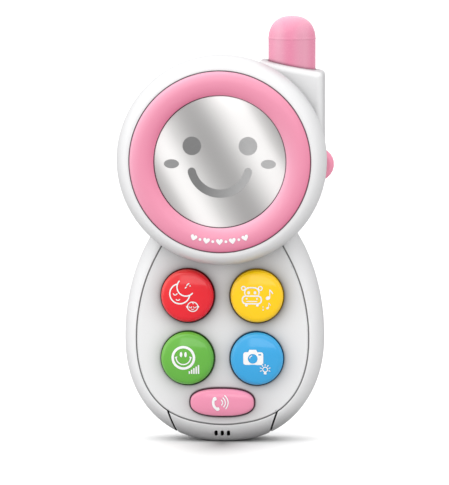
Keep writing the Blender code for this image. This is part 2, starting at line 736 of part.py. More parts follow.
# ------------------------------------------------------------------ keypad mat and board
def board_plan(distance, z_max):
    """The keypad face's outline moved inwards and cut off level at the top."""
    places = [(x, z) for x, z in inset(RIM + distance, 64) if z < z_max]
    left = sorted([p for p in places if p[0] <= 0], key=lambda p: p[1])
    right = sorted([p for p in places if p[0] > 0], key=lambda p: -p[1])
    return left + right


def main_board():
    board = prism(board_plan(2.5, 73.0), (-6.0, -4.8), "main_board", BOARD)
    cut(board, *rods(CASE_SCREWS, 3.2, (-7.0, -4.0), 16))
    cut(board, *rods(BOARD_SCREWS, 1.3, (-7.0, -4.0), 12))
    chip = [(0, -4.5), (3.9, -4.5), (3.6, -3.9), (2.2, -3.25), (0, -3.0)]
    turned(chip, (0, 0, 36.0), 20, "sound_chip", BLACK)


def keypad_mat():
    sheet = prism(board_plan(3.6, 64.0), (-6.9, -6.2), "keypad_mat", RUBBER)
    pad_y = (-7.2, -6.5)
    join(sheet, *rods(KEY_PLACES, 3.4, pad_y, 16))
    join(sheet, rod((0.0, CALL_Z), 3.0, pad_y, 16))
    lower_posts = BOARD_SCREWS[1:] + BOARD_POSTS + CASE_SCREWS[4:]
    cut(sheet, *rods(lower_posts, 3.3, (-8.0, -5.0), 14))


# ------------------------------------------------------------------ sliding disc
DISC_CENTRE = (0, 0, HEAD_Z)


def slide_base():
    base = rod((0, HEAD_Z), BASE_R, (BASE_FRONT_Y, DISC_BACK_Y), 48, "slide_base", WHITE)
    reach = NECK_HALF_Z + SLIDE_GAP
    slot_z = (NECK_Z - reach, NECK_Z + SLIDE_TRAVEL + reach)
    for side in SIDES:
        channel_x = span(side, CHANNEL_IN, CHANNEL_OUT)
        cut(base, block(channel_x, CHANNEL_Y, around(HEAD_Z, CHANNEL_REACH)))
        slot_x = around(side * NECK_X, NECK_HALF_X + 0.2)
        cut(base, block(slot_x, (-20.0, -15.0), slot_z))
    for place in BASE_SCREWS:
        cut(base, rod(place, 2.7, (-15.8, -12.0), 16), rod(place, 1.4, (-20.0, -14.0), 12))


def disc_housing():
    # (radius, y): the back with its recess, the rounded outer edge, the seat of the bezel
    edge = [
        (34.8 + 5.0 * math.cos(a), -15.2 - 10.8 * math.sin(a))
        for a in np.radians([0, 14, 28, 42, 56, 70, 82, 90])
    ]
    profile = [(0, -22.3), (36.9, -22.3), (36.9, DISC_BACK_Y), (38.8, DISC_BACK_Y), (39.5, -14.2)]
    profile += edge + [(34.45, -25.8), (34.45, SEAT_Y), (0, SEAT_Y)]
    housing = turned(profile, DISC_CENTRE, 48, "disc_housing", WHITE)
    for side in SIDES:  # the channels run out through the lower rim
        channel_x = span(side, CHANNEL_IN, CHANNEL_OUT)
        cut(housing, block(channel_x, CHANNEL_Y, (HEAD_Z - CHANNEL_REACH, HEAD_Z)))
    for place in BASE_SCREWS:
        join(housing, rod(place, 2.5, (-22.8, -19.2), 14))
        cut(housing, rod(place, 1.2, (-22.0, -18.5), 10))


def bezel_ring():
    profile = [(BEZEL_IN, BEZEL_BACK_Y), (BEZEL_OUT, BEZEL_BACK_Y), (BEZEL_OUT, -25.7)]
    for radius in (33.7, 32.1, 29.9, 27.9, 25.9):
        if radius > BEZEL_CREST:
            edge_r, edge_y = BEZEL_OUT, -25.7
        else:
            edge_r, edge_y = BEZEL_IN, -25.6
        t = (radius - BEZEL_CREST) / (edge_r - BEZEL_CREST)
        profile.append((radius, edge_y - 1.9 * math.sqrt(max(0.0, 1 - t * t))))
    profile.append((BEZEL_IN, -25.6))
    turned(profile, DISC_CENTRE, 48, "bezel_ring", PINK, closed=True)


def mirror():
    chamfer = 0.3
    profile = [
        (0, BEZEL_BACK_Y), (MIRROR_R, BEZEL_BACK_Y), (MIRROR_R, MIRROR_Y + chamfer),
        (MIRROR_R - chamfer, MIRROR_Y), (0, MIRROR_Y),
    ]
    turned(profile, DISC_CENTRE, 48, "mirror", MIRROR)


def slide_shoe():
    """The bar screwed to both necks, in front of the slide base."""
    z_range = around(NECK_Z, 5.0)
    shoe = block(around(0, 17.6), (-20.7, -19.2), z_range, "slide_shoe", WHITE, bevel=0.3)
    cut(shoe, *rods(NECK_PLACES, 1.3, (-22, -18), 12))


# ------------------------------------------------------------------ fasteners
# name, places, y of head and tip, radius of head and shaft, head height, sign of Y the head faces
SCREWS = (
    ("case_screw", CASE_SCREWS, 6.4, -8.6, 2.6, 1.15, 1.8, 1),
    ("board_screw", BOARD_SCREWS, -3.3, -9.4, 2.1, 0.8, 1.2, 1),
    ("shoe_screw", NECK_PLACES, -21.95, -14.6, 2.3, 0.9, 1.05, -1),
    ("base_screw", BASE_SCREWS, -14.0, -21.4, 2.3, 0.9, 1.5, 1),
    ("door_screw", DOOR_SCREWS, 13.8, 5.4, 2.5, 1.0, 0.8, 1),
)


def screws():
    """Pan-head screws along Y."""
    for name, places, head_y, tip_y, head_r, shaft_r, head_height, facing in SCREWS:
        under_y = head_y - facing * head_height
        profile = [
            (0, head_y), (head_r * 0.6, head_y), (head_r, head_y - facing * head_height * 0.45),
            (head_r, under_y), (shaft_r, under_y), (shaft_r, tip_y + facing * 0.8), (0, tip_y),
        ]
        for i, (x, z) in enumerate(places):
            turned(profile, (x, 0, z), 10, f"{name}_{i + 1}", STEEL)


# ------------------------------------------------------------------ antenna and its lamp
def antenna():
    dome_height = ANTENNA_TOP_Z - ANTENNA_SEAM_Z
    dome = [
        (ANTENNA_R * math.cos(a), ANTENNA_SEAM_Z + dome_height * math.sin(a))
        for a in np.radians([0, 18, 36, 54, 70, 82])
    ]
    bore_r = 6.4
    inner_dome = [
        (bore_r * math.cos(a), 151.5 + 6.6 * math.sin(a)) for a in np.radians([75, 50, 25, 0])
    ]
    # (radius, z): a flange, the outside up to the tip, then the hollow inside
    profile = [(bore_r, 132.3), (10.0, 132.3), (10.0, 135.1), (ANTENNA_R, 135.1)] + dome
    profile += [(0, ANTENNA_TOP_Z), (0, 158.2)] + inner_dome
    turned(profile, (ANTENNA_X, 0, 0), 28, "antenna", PINK_SOFT, axis="Z", closed=True)


def antenna_lamp():
    lamp_r, dome_z = 2.5, 138.4
    profile = [(0, 130.4), (2.9, 130.4), (2.9, 131.4), (lamp_r, 131.4), (lamp_r, dome_z)]
    for a in np.radians([35, 65]):
        profile.append((lamp_r * math.cos(a), dome_z + lamp_r * math.sin(a)))
    profile.append((0, dome_z + lamp_r))
    turned(profile, (ANTENNA_X, 0, 0), 18, "antenna_lamp", LAMP, axis="Z")
    block(around(ANTENNA_X, 7.0), around(0, 5.0), (128.9, 130.1), "lamp_board", BOARD)


# ------------------------------------------------------------------ side wheel
def side_wheel():
    # (radius, distance in from the flat face) of one half, from the bore outwards
    half = [(1.06, 0), (4.6, 0), (5.6, 0.15), (6.2, 0.75), (WHEEL_R, 1.7)]
    profile = [(radius, -WHEEL_HALF + depth) for radius, depth in half]
    profile += [(radius, WHEEL_HALF - depth) for radius, depth in reversed(half)]
    wheel = turned(profile, (WHEEL_X, 0, WHEEL_Z), 28, "side_wheel", PINK, closed=True)
    set_origin(wheel, WHEEL_X, WHEEL_Z)
    rod(WHEEL_PLACE, 1.0, (-8.6, 7.3), 14, "wheel_axle", STEEL)


# ------------------------------------------------------------------ speaker
# (radius, y) profiles
SPEAKER_FRAME = (
    (13.2, 10.2), (13.2, 10.9), (SPEAKER_R, 10.9), (SPEAKER_R, 9.6), (14.4, 9.6),
    (9.4, 5.4), (0, 5.4), (0, 6.2), (8.9, 6.2),
)
SPEAKER_CONE = (
    (0, 7.2), (3.6, 7.1), (12.8, 10.15), (12.8, 10.7), (4.2, 8.0), (2.6, 8.9), (0, 9.4),
)
SPEAKER_MAGNET = ((0, 5.1), (8.2, 5.1), (8.6, 4.7), (8.6, 1.4), (8.2, 1.0), (0, 1.0))


def speaker():
    centre = (0, 0, SPEAKER_Z)
    turned(SPEAKER_FRAME, centre, 32, "speaker_frame", STEEL, closed=True)
    turned(SPEAKER_CONE, centre, 28, "speaker_cone", PAPER)
    turned(SPEAKER_MAGNET, centre, 28, "speaker_magnet", STEEL)


# ------------------------------------------------------------------ battery door, cells, contacts
def battery_door():
    z_range = (DOOR_Z[0] + DOOR_GAP, DOOR_Z[1] - DOOR_GAP)
    x_range = around(0, DOOR_X - DOOR_GAP)
    door = block(x_range, (12.25, 13.9), z_range, "battery_door", WHITE)
    for place in DOOR_SCREWS:  # clearance hole, then counterbore
        cut(door, rod(place, 1.35, (10, 15), 12), rod(place, 2.9, (12.95, 15), 16))
    for k in range(4):  # level grooves near the top
        cut(door, block(around(0, 5.0), (13.4, 15.0), around(60.2 - 2.6 * k, 0.5)))


def batteries():
    """Two cells, the left one with its terminal up and the right one with it down."""
    edge, body_length, terminal_r = 0.4, 43.3, 1.9
    up = [
        (0, 0), (CELL_R - edge, 0), (CELL_R, edge), (CELL_R, body_length - edge),
        (CELL_R - edge, body_length), (terminal_r, body_length),
        (terminal_r, CELL_LENGTH), (0, CELL_LENGTH),
    ]
    down = [(radius, CELL_LENGTH - height) for radius, height in up]
    for i, (side, cell, low_z) in enumerate(((-1, up, 18.3), (1, down, 14.4))):
        profile = [(radius, height + low_z) for radius, height in cell]
        centre = (side * CELL_X, CELL_Y, 0)
        turned(profile, centre, 20, f"battery_{i + 1}", CELL, axis="Z")


def battery_spring(name, x, z_wide, z_narrow):
    """A conical contact spring, wide where it sits on the wall."""
    turns, points_per_turn = 3.5, 9
    wide_r, taper = 3.9, 1.9
    last = int(turns * points_per_turn)
    points = []
    for i in range(last + 1):
        t = i / last
        a = 2 * math.pi * turns * t
        radius = wide_r - taper * t
        z = z_wide + (z_narrow - z_wide) * t
        points.append((x + radius * math.cos(a), CELL_Y + radius * math.sin(a), z))
    tube(name, STEEL, 0.28, points)


def contacts():
    battery_spring("battery_spring_1", -CELL_X, 14.3, 17.7)
    battery_spring("battery_spring_2", CELL_X, 62.9, 59.5)
    plate_y = (2.0, 11.4)
    block(around(0, 11.8), plate_y, (63.35, 63.85), "contact_plate_top", STEEL)
    for i, side in enumerate(SIDES):
        block(span(side, 0.9, 11.6), plate_y, (13.25, 13.7), f"contact_plate_{i + 1}", STEEL)


# ------------------------------------------------------------------ power switch
def power_switch():
    body = block(around(0, 5.6), (6.2, 9.6), around(SWITCH_Z, 2.8), "switch_body", SWITCH)
    cut(body, block(around(0, 3.6), (8.4, 11.0), around(SWITCH_Z, 1.3)))
    knob = block(
        around(KNOB_X, 1.4), (8.8, 13.2), around(SWITCH_Z, 1.0), "switch_knob", SWITCH, bevel=0.2
    )
    set_origin(knob, KNOB_X, SWITCH_Z)


# ------------------------------------------------------------------ wires
WIRE_R = 0.55
# name, material, (x, y, z) points from the main board on
WIRES = (
    ("speaker_wire_red", WIRE_RED, (
        (4.0, -3.8, 70.0), (4.4, -2.2, 74.0), (6.0, -1.2, 80.0), (9.0, -0.6, 88.0),
        (11.5, 0.6, 95.0), (12.2, 3.0, 99.5), (12.0, 5.4, 101.0))),
    ("speaker_wire_black", WIRE_BLACK, (
        (6.8, -3.8, 70.0), (7.2, -2.2, 74.0), (9.0, -1.2, 80.0), (12.0, -0.6, 88.0),
        (13.9, 0.6, 95.0), (14.6, 3.0, 100.0), (14.2, 6.2, 102.5))),
    ("lamp_wire_red", WIRE_RED, (
        (-5.0, -3.8, 70.0), (-4.6, -4.4, 76.0), (2.0, -5.4, 90.0), (12.0, -6.0, 110.0),
        (19.0, -5.6, 122.0), (22.6, -3.6, 126.6), (23.9, -2.0, 128.0))),
    ("lamp_wire_black", WIRE_BLACK, (
        (-2.4, -3.8, 70.0), (-2.0, -4.4, 76.0), (4.6, -5.4, 90.0), (14.6, -6.0, 110.0),
        (22.0, -5.6, 121.0), (25.8, -3.6, 126.6), (27.0, -2.0, 128.0))),
    ("battery_wire_red", WIRE_RED, (
        (-16.5, -3.8, 40.0), (-17.4, -1.6, 36.0), (-17.8, 1.2, 28.0), (-17.0, 2.6, 18.0),
        (-16.6, 3.0, 13.6))),
    ("battery_wire_black", WIRE_BLACK, (
        (16.5, -3.8, 40.0), (17.4, -1.6, 36.0), (17.8, 1.2, 28.0), (17.0, 2.6, 18.0),
        (16.6, 3.0, 13.6))),
    ("switch_wire_1", WIRE_BLUE, (
        (-12.0, -3.8, 66.0), (-12.4, -1.4, 70.0), (-11.0, 2.0, 74.0), (-8.4, 5.2, 77.0),
        (-6.6, 7.4, 78.2))),
    ("switch_wire_2", WIRE_BLUE, (
        (-9.2, -3.8, 66.0), (-9.4, -1.4, 71.0), (-8.8, 2.6, 78.0), (-8.0, 5.6, 80.4),
        (-6.6, 7.8, 80.6))),
)


# ------------------------------------------------------------------ assembly
front_shell()
side_grip(-1, "left_side_grip")
side_grip(1, "right_side_grip")
rear_shell()
buttons()
main_board()
keypad_mat()
slide_base()
disc_housing()
bezel_ring()
mirror()
slide_shoe()
screws()
antenna()
antenna_lamp()
side_wheel()
speaker()
battery_door()
batteries()
contacts()
power_switch()
for wire_name, wire_mat, wire_points in WIRES:
    tube(wire_name, wire_mat, WIRE_R, wire_points)
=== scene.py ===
"""Looks of the toy phone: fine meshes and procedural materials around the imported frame.

The phone stands upright on z = 0 with its keys and mirror disc facing -y, its back +y, and its
left side, as seen from the front, at -x. Shapes are given in mm and scaled to metres once built.
"""
import json
import math

import bmesh
import bpy
import numpy as np
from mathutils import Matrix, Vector
from mathutils.geometry import delaunay_2d_cdt


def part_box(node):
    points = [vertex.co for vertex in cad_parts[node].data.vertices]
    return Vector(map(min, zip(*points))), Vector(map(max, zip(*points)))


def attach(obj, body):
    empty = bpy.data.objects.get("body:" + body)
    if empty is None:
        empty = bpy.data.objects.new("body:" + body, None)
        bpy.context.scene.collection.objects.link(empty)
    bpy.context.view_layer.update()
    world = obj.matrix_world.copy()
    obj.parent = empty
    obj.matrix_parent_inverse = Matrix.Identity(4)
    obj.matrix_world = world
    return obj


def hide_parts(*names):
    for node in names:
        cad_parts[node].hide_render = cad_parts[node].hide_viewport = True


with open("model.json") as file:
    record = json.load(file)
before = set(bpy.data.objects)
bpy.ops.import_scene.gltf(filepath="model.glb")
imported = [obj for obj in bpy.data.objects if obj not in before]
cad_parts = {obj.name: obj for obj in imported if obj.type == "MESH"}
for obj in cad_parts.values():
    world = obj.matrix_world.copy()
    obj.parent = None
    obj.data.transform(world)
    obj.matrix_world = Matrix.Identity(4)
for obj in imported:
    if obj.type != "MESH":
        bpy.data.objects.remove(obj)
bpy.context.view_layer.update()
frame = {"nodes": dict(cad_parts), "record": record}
MM = 0.001
for spare in ("Cube", "Light", "Camera"):
    if spare in bpy.data.objects:
        bpy.data.objects.remove(bpy.data.objects[spare], do_unlink=True)

# ---------------------------------------------------------------- dimensions (mm), as in the CAD
# The outline is an egg below, a round head above, and a raised shoulder at the upper right.
EGG_Z, EGG_HALF_WIDTH, EGG_DOWN, EGG_UP = 39.6, 37.7, 40.25, 56.7
EGG_POWER = 2.2  # of the lower half; the upper half is a plain ellipse
HEAD_Z, HEAD_R, WAIST_BLEND = 107.7, 37.9, 3.0
HEAD_END_X = 12.9  # where the round of the head meets the step up to the shoulder
SHOULDER_STEP = ((13.25, 143.75), (13.6, 144.35), (14.05, 144.72))  # (x, z)
SHOULDER_TOP = ((14.6, 144.86), (37.9, 140.44))  # (x, z) of both ends of the slope
SHOULDER_CORNER = 1.9
BACK_Y, BACK_IN_Y, BACK_ROUND, BACK_ROUND_Y = 14.0, 12.0, 6.0, 3.0
FRONT_Y, FRONT_IN_Y, CROWN, CROWN_HALF_WIDTH = -12.2, -10.4, 0.8, 33.0
WALL, GROOVE, PART_GAP = 2.0, 0.2, 0.15
GRIP_TOP_Z = 84.0
SLIT_TOP, SLIT_LOW = (20.9, 11.2), (18.4, 4.2)  # (x, z) of the slit beside the foot
# (height z, width of the front's rounded rim)
RIM_WIDTH = (
    (0, 7.4), (2, 6.9), (4, 6.45), (6.5, 5.95), (9, 5.6), (12, 5.35), (16, 5.12),
    (21, 5.0), (45, 5.0), (60, 5.3), (73, 5.8), (84, 5.8), (92, 2.4), (170, 2.4),
)
# (height z, y where that rim starts to turn in)
RIM_START = ((0, -3.0), (76, -3.0), (92, -9.6), (170, -9.6))
OUTLINE_POINTS, RING_POINTS, GRIP_POINTS = 1800, 288, 500
# Places on the outline that get eight more points: ((x, z), share of the way round between them)
CROWDED = (((37.4, 140.0), 0.0013), ((13.6, 144.35), 0.0011))
WIDE = (-60, 60)


def box_mm(node):
    low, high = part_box(node)
    return np.array(low) / MM, np.array(high) / MM


def middle(node):
    low, high = box_mm(node)
    return (low + high) / 2


KEYS = ("red", "yellow", "green", "blue")
KEY_AT = {key: middle(key + "_button") for key in KEYS}
KEY_TOP = float(box_mm("red_button")[0][1])
KEY_R, KEY_HOLE_R = 10.0, 10.34
CALL_HALF_X, CALL_HALF_Z, CALL_POWER, CALL_HOLE_GAP = 12.05, 5.15, 2.55, 0.36
CALL_Z = float(middle("call_button")[2])
CALL_TOP = float(box_mm("call_button")[0][1])
CALL_DISH = 0.95  # how far the call key's face falls from its middle to its edge
ANTENNA_X, ANTENNA_Y, _ = middle("antenna")
ANTENNA_R = 8.95
WHEEL = middle("side_wheel")
DISC_Z = float(middle("mirror")[2])


# ---------------------------------------------------------------- mesh helpers
def soften(mesh, angle=40.0):
    mesh.shade_smooth()
    mesh.set_sharp_from_angle(angle=math.radians(angle))


def to_object(bm, name, angle=40.0):
    bmesh.ops.remove_doubles(bm, verts=bm.verts, dist=2e-4)
    bmesh.ops.recalc_face_normals(bm, faces=bm.faces)
    bmesh.ops.scale(bm, vec=Vector((MM, MM, MM)), verts=bm.verts)
    mesh = bpy.data.meshes.new(name)
    bm.to_mesh(mesh)
    bm.free()
    obj = bpy.data.objects.new(name, mesh)
    bpy.context.scene.collection.objects.link(obj)
    soften(mesh, angle)
    return obj


def bridge(bm, rows, closed):
    """Joins neighbouring rows of vertices with faces. A row of one vertex is a tip."""
    steps = max(len(row) for row in rows)
    following = rows[1:] + rows[:1] if closed else rows[1:]
    for row, other in zip(rows, following):
        if len(row) == len(other) == 1:
            continue
        for i in range(steps):
            j = (i + 1) % steps
            if len(row) == 1:
                bm.faces.new((row[0], other[j], other[i]))
            elif len(other) == 1:
                bm.faces.new((row[i], row[j], other[0]))
            else:
                bm.faces.new((row[i], row[j], other[j], other[i]))


def loft(rings, name="cutter", closed=False):
    """Skins rings of points. The ends are capped, or meet each other if closed."""
    bm = bmesh.new()
    rows = [[bm.verts.new(point) for point in points] for points in rings]
    bridge(bm, rows, closed)
    if not closed:
        bm.faces.new(rows[0][::-1])
        bm.faces.new(rows[-1])
    return to_object(bm, name)


def turned(profile, centre, name="cutter", steps=96, axis="Y", closed=False):
    """Spins (radius, height) points about an axis through centre."""
    bm = bmesh.new()
    cx, cy, cz = centre

    def vertex(across, other, height):
        if axis == "Y":
            return bm.verts.new((cx + across, cy + height, cz + other))
        return bm.verts.new((cx + across, cy + other, cz + height))

    rows = []
    for r, height in profile:
        if r < 1e-6:
            rows.append([vertex(0.0, 0.0, height)])
            continue
        angles = [2 * math.pi * i / steps for i in range(steps)]
        rows.append([vertex(r * math.cos(a), r * math.sin(a), height) for a in angles])
    bridge(bm, rows, closed)
    return to_object(bm, name)


def prism(outline, y0, y1):
    bm = bmesh.new()
    face = bm.faces.new([bm.verts.new((x, y0, z)) for x, z in outline])
    grown = bmesh.ops.extrude_face_region(bm, geom=[face])["geom"]
    moved = [item for item in grown if isinstance(item, bmesh.types.BMVert)]
    bmesh.ops.translate(bm, vec=(0, y1 - y0, 0), verts=moved)
    return to_object(bm, "cutter")


def block(x, y, z, name="cutter", bevel=0.0, segments=3):
    """A box between the two ends given for each axis."""
    ends = (x, y, z)
    bm = bmesh.new()
    bmesh.ops.create_cube(bm, size=1.0)
    bmesh.ops.scale(bm, vec=tuple(b - a for a, b in ends), verts=bm.verts)
    bmesh.ops.translate(bm, vec=tuple((a + b) / 2 for a, b in ends), verts=bm.verts)
    if bevel:
        bmesh.ops.bevel(
            bm, geom=bm.edges[:], offset=bevel, segments=segments, affect="EDGES", profile=0.5
        )
    return to_object(bm, name)


def rounded(corners, steps=5):
    """Rounds an open line of (r, height, radius) corners. Radius 0 leaves a corner sharp."""
    points = [np.array(corner[:2], float) for corner in corners]
    out = []
    for i, point in enumerate(points):
        radius = corners[i][2]
        if radius <= 0:
            out.append(tuple(point))
            continue
        before, after = points[i - 1] - point, points[i + 1] - point
        before_length, after_length = np.linalg.norm(before), np.linalg.norm(after)
        u, v = before / before_length, after / after_length
        half = math.acos(float(u @ v)) / 2
        reach = min(radius / math.tan(half), 0.49 * before_length, 0.49 * after_length)
        r = reach * math.tan(half)
        centre = point + (u + v) / np.linalg.norm(u + v) * (r / math.sin(half))
        start, end = point + u * reach - centre, point + v * reach - centre
        first = math.atan2(start[1], start[0])
        turn = (math.atan2(end[1], end[0]) - first + math.pi) % (2 * math.pi) - math.pi
        for k in range(steps + 1):
            a = first + turn * k / steps
            out.append((centre[0] + r * math.cos(a), centre[1] + r * math.sin(a)))
    return out


def quarter(angles):
    """(share run inwards, share run outwards) along a quarter round, at angles in degrees."""
    return [(1 - math.cos(a), math.sin(a)) for a in np.radians(angles)]


def combine(obj, tool, how):
    step = obj.modifiers.new(how.lower(), "BOOLEAN")
    step.operation = how
    step.object = tool
    bpy.context.view_layer.update()
    graph = bpy.context.evaluated_depsgraph_get()
    made = bpy.data.meshes.new_from_object(obj.evaluated_get(graph))
    obj.modifiers.clear()
    old = obj.data
    obj.data = made
    bpy.data.meshes.remove(old)
    soften(made)
    bpy.data.objects.remove(tool, do_unlink=True)
    return obj


def cut(obj, tool):
    return combine(obj, tool, "DIFFERENCE")


def join(obj, tool):
    return combine(obj, tool, "UNION")


def keep(obj, tool):
    return combine(obj, tool, "INTERSECT")


def weighted(obj):
    """Lets the large faces lead the shading, so that cut edges don't smear over them."""
    step = obj.modifiers.new("normals", "WEIGHTED_NORMAL")
    step.keep_sharp = True
    step.weight = 80


# ---------------------------------------------------------------- outline of the case
def egg_half(z):
    """Half the egg's width at height z."""
    reach, power = (EGG_UP, 2.0) if z > EGG_Z else (EGG_DOWN, EGG_POWER)
    t = (z - EGG_Z) / reach
    return EGG_HALF_WIDTH * max(0.0, 1.0 - abs(t) ** power) ** (1.0 / power)


def case_half(z):
    """Half the case's width below the head's middle, with the waist blended."""
    egg, head = egg_half(z), math.sqrt(max(0.0, HEAD_R**2 - (z - HEAD_Z) ** 2))
    blend = max(WAIST_BLEND - abs(egg - head), 0.0) ** 2 / (4 * WAIST_BLEND)
    return max(egg, head) + blend


def measured(points):
    """Closes a loop of points, and gives it with the way run to each of them."""
    loop = np.vstack([points, points[:1]])
    return loop, np.concatenate([[0.0], np.cumsum(np.hypot(*np.diff(loop, axis=0).T))])


def sampled(loop, run, at):
    return np.c_[np.interp(at, run, loop[:, 0]), np.interp(at, run, loop[:, 1])]


def dense_outline():
    """Even (x, z) points, clockwise from the foot as seen from the front, and how far round
    each one lies, as a share of the whole way."""
    left = []
    for a in np.linspace(0.0, math.pi / 2, 90):
        z = EGG_Z - EGG_DOWN * math.cos(a)
        left.append((-egg_half(z), z))
    for z in np.linspace(EGG_Z, HEAD_Z, 260)[1:]:
        left.append((-case_half(z), z))
    for a in np.linspace(0.0, math.pi / 2, 110)[1:]:
        left.append((-HEAD_R * math.cos(a), HEAD_Z + HEAD_R * math.sin(a)))
    right = [(-x, z) for x, z in reversed(left) if z <= HEAD_Z]

    # from the crown of the head over the step and the shoulder, down to the head's middle
    over = []
    for a in np.linspace(0.0, math.asin(HEAD_END_X / HEAD_R), 30)[1:]:
        over.append((HEAD_R * math.sin(a), HEAD_Z + HEAD_R * math.cos(a)))
    over += SHOULDER_STEP
    (x0, z0), (x1, z1) = SHOULDER_TOP
    slope = (z1 - z0) / (x1 - x0)
    tilt = math.atan(slope)
    r = SHOULDER_CORNER
    corner_x = x1 - r
    corner_z = z0 + slope * (x1 - r - x0) - r / math.cos(tilt)
    for x in np.linspace(x0, corner_x + r * math.sin(-tilt), 40):
        over.append((x, z0 + slope * (x - x0)))
    for a in np.linspace(math.pi / 2 + tilt, 0.0, 12)[1:]:
        over.append((corner_x + r * math.cos(a), corner_z + r * math.sin(a)))
    for z in np.linspace(corner_z, HEAD_Z, 60)[1:-1]:
        over.append((x1, z))

    points = np.array(left + over + right)
    _, run = measured(points)
    loop, run = measured(points[np.diff(run) > 1e-6])
    at = np.linspace(0.0, run[-1], OUTLINE_POINTS + 1)[:-1]
    return sampled(loop, run, at), at / run[-1]


OUTLINE, OUTLINE_SHARE = dense_outline()
tangent = np.roll(OUTLINE, -3, axis=0) - np.roll(OUTLINE, 3, axis=0)
tangent /= np.hypot(*tangent.T)[:, None]
INWARD = np.c_[tangent[:, 1], -tangent[:, 0]]


def stations(count):
    """Shares of the way round for a ring's points: even, and crowded at the tight corners."""
    extra = []
    for place, spacing in CROWDED:
        here = OUTLINE_SHARE[np.argmin(np.hypot(*(OUTLINE - place).T))]
        extra += [here + k * spacing for k in np.arange(-3.5, 4)]
    even_count = count - len(extra)
    even = (np.arange(even_count) + 0.5) / even_count
    return np.sort(np.concatenate([even, extra]))


def inset(distance, count=RING_POINTS):
    """The outline moved inwards by one distance, or by one for each of its points."""
    distance = np.broadcast_to(np.asarray(distance, float), (len(OUTLINE),))
    moved = OUTLINE + INWARD * distance[:, None]
    # points that end up too near another stretch of the outline belong to a fold, and go
    nearest = np.full(len(moved), np.inf)
    for start in range(0, len(moved), 200):
        gap = moved[start : start + 200, None, :] - OUTLINE[None, :, :]
        nearest[start : start + 200] = np.sqrt((gap**2).sum(2)).min(1)
    good = nearest >= distance - 0.004 - 0.002 * distance
    loop, run = measured(moved[good])
    shares = OUTLINE_SHARE[good]
    at = np.interp(stations(count), np.append(shares, shares[0] + 1.0), run)
    # spreads out points that a dropped fold has pushed together
    for _ in range(3):
        for i in range(1, count):
            at[i] = max(at[i], at[i - 1] + 0.02)
        for i in range(count - 1, 0, -1):
            at[i - 1] = min(at[i - 1], at[i] - 0.02)
        at[1:] = np.maximum(at[1:], at[:-1] + 0.019)
    return sampled(loop, run, at)


def by_height(z, table):
    return np.interp(z, *zip(*table))


RIM = by_height(OUTLINE[:, 1], RIM_WIDTH)


def ring(flat, y):
    """Lifts (x, z) points to one y, or to one y each."""
    y = np.broadcast_to(np.asarray(y, float), (len(flat),))
    return [(x, own_y, z) for (x, z), own_y in zip(flat, y)]


def crown(x):
    """y of the slightly arched front."""
    return FRONT_Y - CROWN * np.clip(1.0 - (np.asarray(x) / CROWN_HALF_WIDTH) ** 2, 0.0, 1.0)


def outer_edge(y, way):
    """Rings from the inside of the wall's end face to its outer edge; way is the sign of y."""
    steps = ((WALL, 0.0), (0.35, 0.0), (0.08, 0.1), (0.0, 0.35))
    return [ring(inset(inward), way * (y + deeper)) for inward, deeper in steps]


def front_blank(name):
    """The whole front half as a hollow shell, before grips and holes are cut."""
    rings = []
    start = by_height(inset(0.0)[:, 1], RIM_START)
    for inward, outward in quarter((90, 60, 30, 0)):
        flat = inset(WALL + (RIM - 1.0) * inward)
        rings.append(ring(flat, start + (FRONT_IN_Y - start) * outward))
    rings += outer_edge(PART_GAP, -1)
    for inward, outward in quarter(range(0, 91, 6)):
        flat = inset(RIM * inward)
        rings.append(ring(flat, start + (crown(flat[:, 0]) - start) * outward))
    for more in (0.8, *np.arange(1.6, 1.7), 3, 5, 7, 9, 11, 13, 15, 17, 19, 21):
        flat = inset(RIM + more)
        rings.append(ring(flat, crown(flat[:, 0])))
    last = inset(RIM + 21.4)
    rings.append(ring(last, crown(last[:, 0]).mean()))
    return loft(rings, name)


def grip_region(side, edge, slack):
    """Cutter over one side grip. edge moves its inner border towards the middle, and slack
    widens it at the slit and at the top."""
    curve = inset(RIM + edge, GRIP_POINTS)
    curve = curve[(curve[:, 0] * side > 0) & (curve[:, 1] < 100)]
    curve = curve[np.argsort(np.arctan2(curve[:, 1] - 45.0, np.abs(curve[:, 0])))]
    lean = (SLIT_TOP[0] - SLIT_LOW[0]) / (SLIT_TOP[1] - SLIT_LOW[1])

    def slit_x(z):
        return SLIT_LOW[0] + lean * (z - SLIT_LOW[1]) - slack

    past = np.abs(curve[:, 0]) - slit_x(curve[:, 1])
    k = int(np.argmax(past > 0))
    start = curve[k] + (curve[k - 1] - curve[k]) * past[k] / (past[k] - past[k - 1])
    top = GRIP_TOP_Z + slack
    rest = [tuple(p) for p in curve[k:] if p[1] < top - 0.2 and math.dist(p, start) > 0.15]
    plan = [(side * slit_x(-4.0), -4.0), tuple(start)] + rest
    plan += [(rest[-1][0], top), (side * 50.0, top), (side * 50.0, -4.0)]
    return prism(plan, -16.0, 2.0)


def band(section):
    """A closed strip that follows the groove, from (offset inwards, depth) points."""
    surface = crown(inset(RIM)[:, 0])
    return loft([ring(inset(RIM + o), surface + y) for o, y in section], closed=True)


def square_band(inner, outer, top, bottom):
    return band(((outer, top), (inner, top), (inner, bottom), (outer, bottom)))


def flared_band(depth, lip=0.5):
    """A groove cutter of the given depth that rounds both of the groove's lips."""
    half = GROOVE / 2
    left = [(-half, depth)]
    for inward, outward in quarter(range(0, 91, 18)):
        left.append((-half - lip * inward, lip * (1 - outward)))
    left.append((-half - lip - 0.02, -2.5))
    return band(left + [(-o, y) for o, y in reversed(left)])


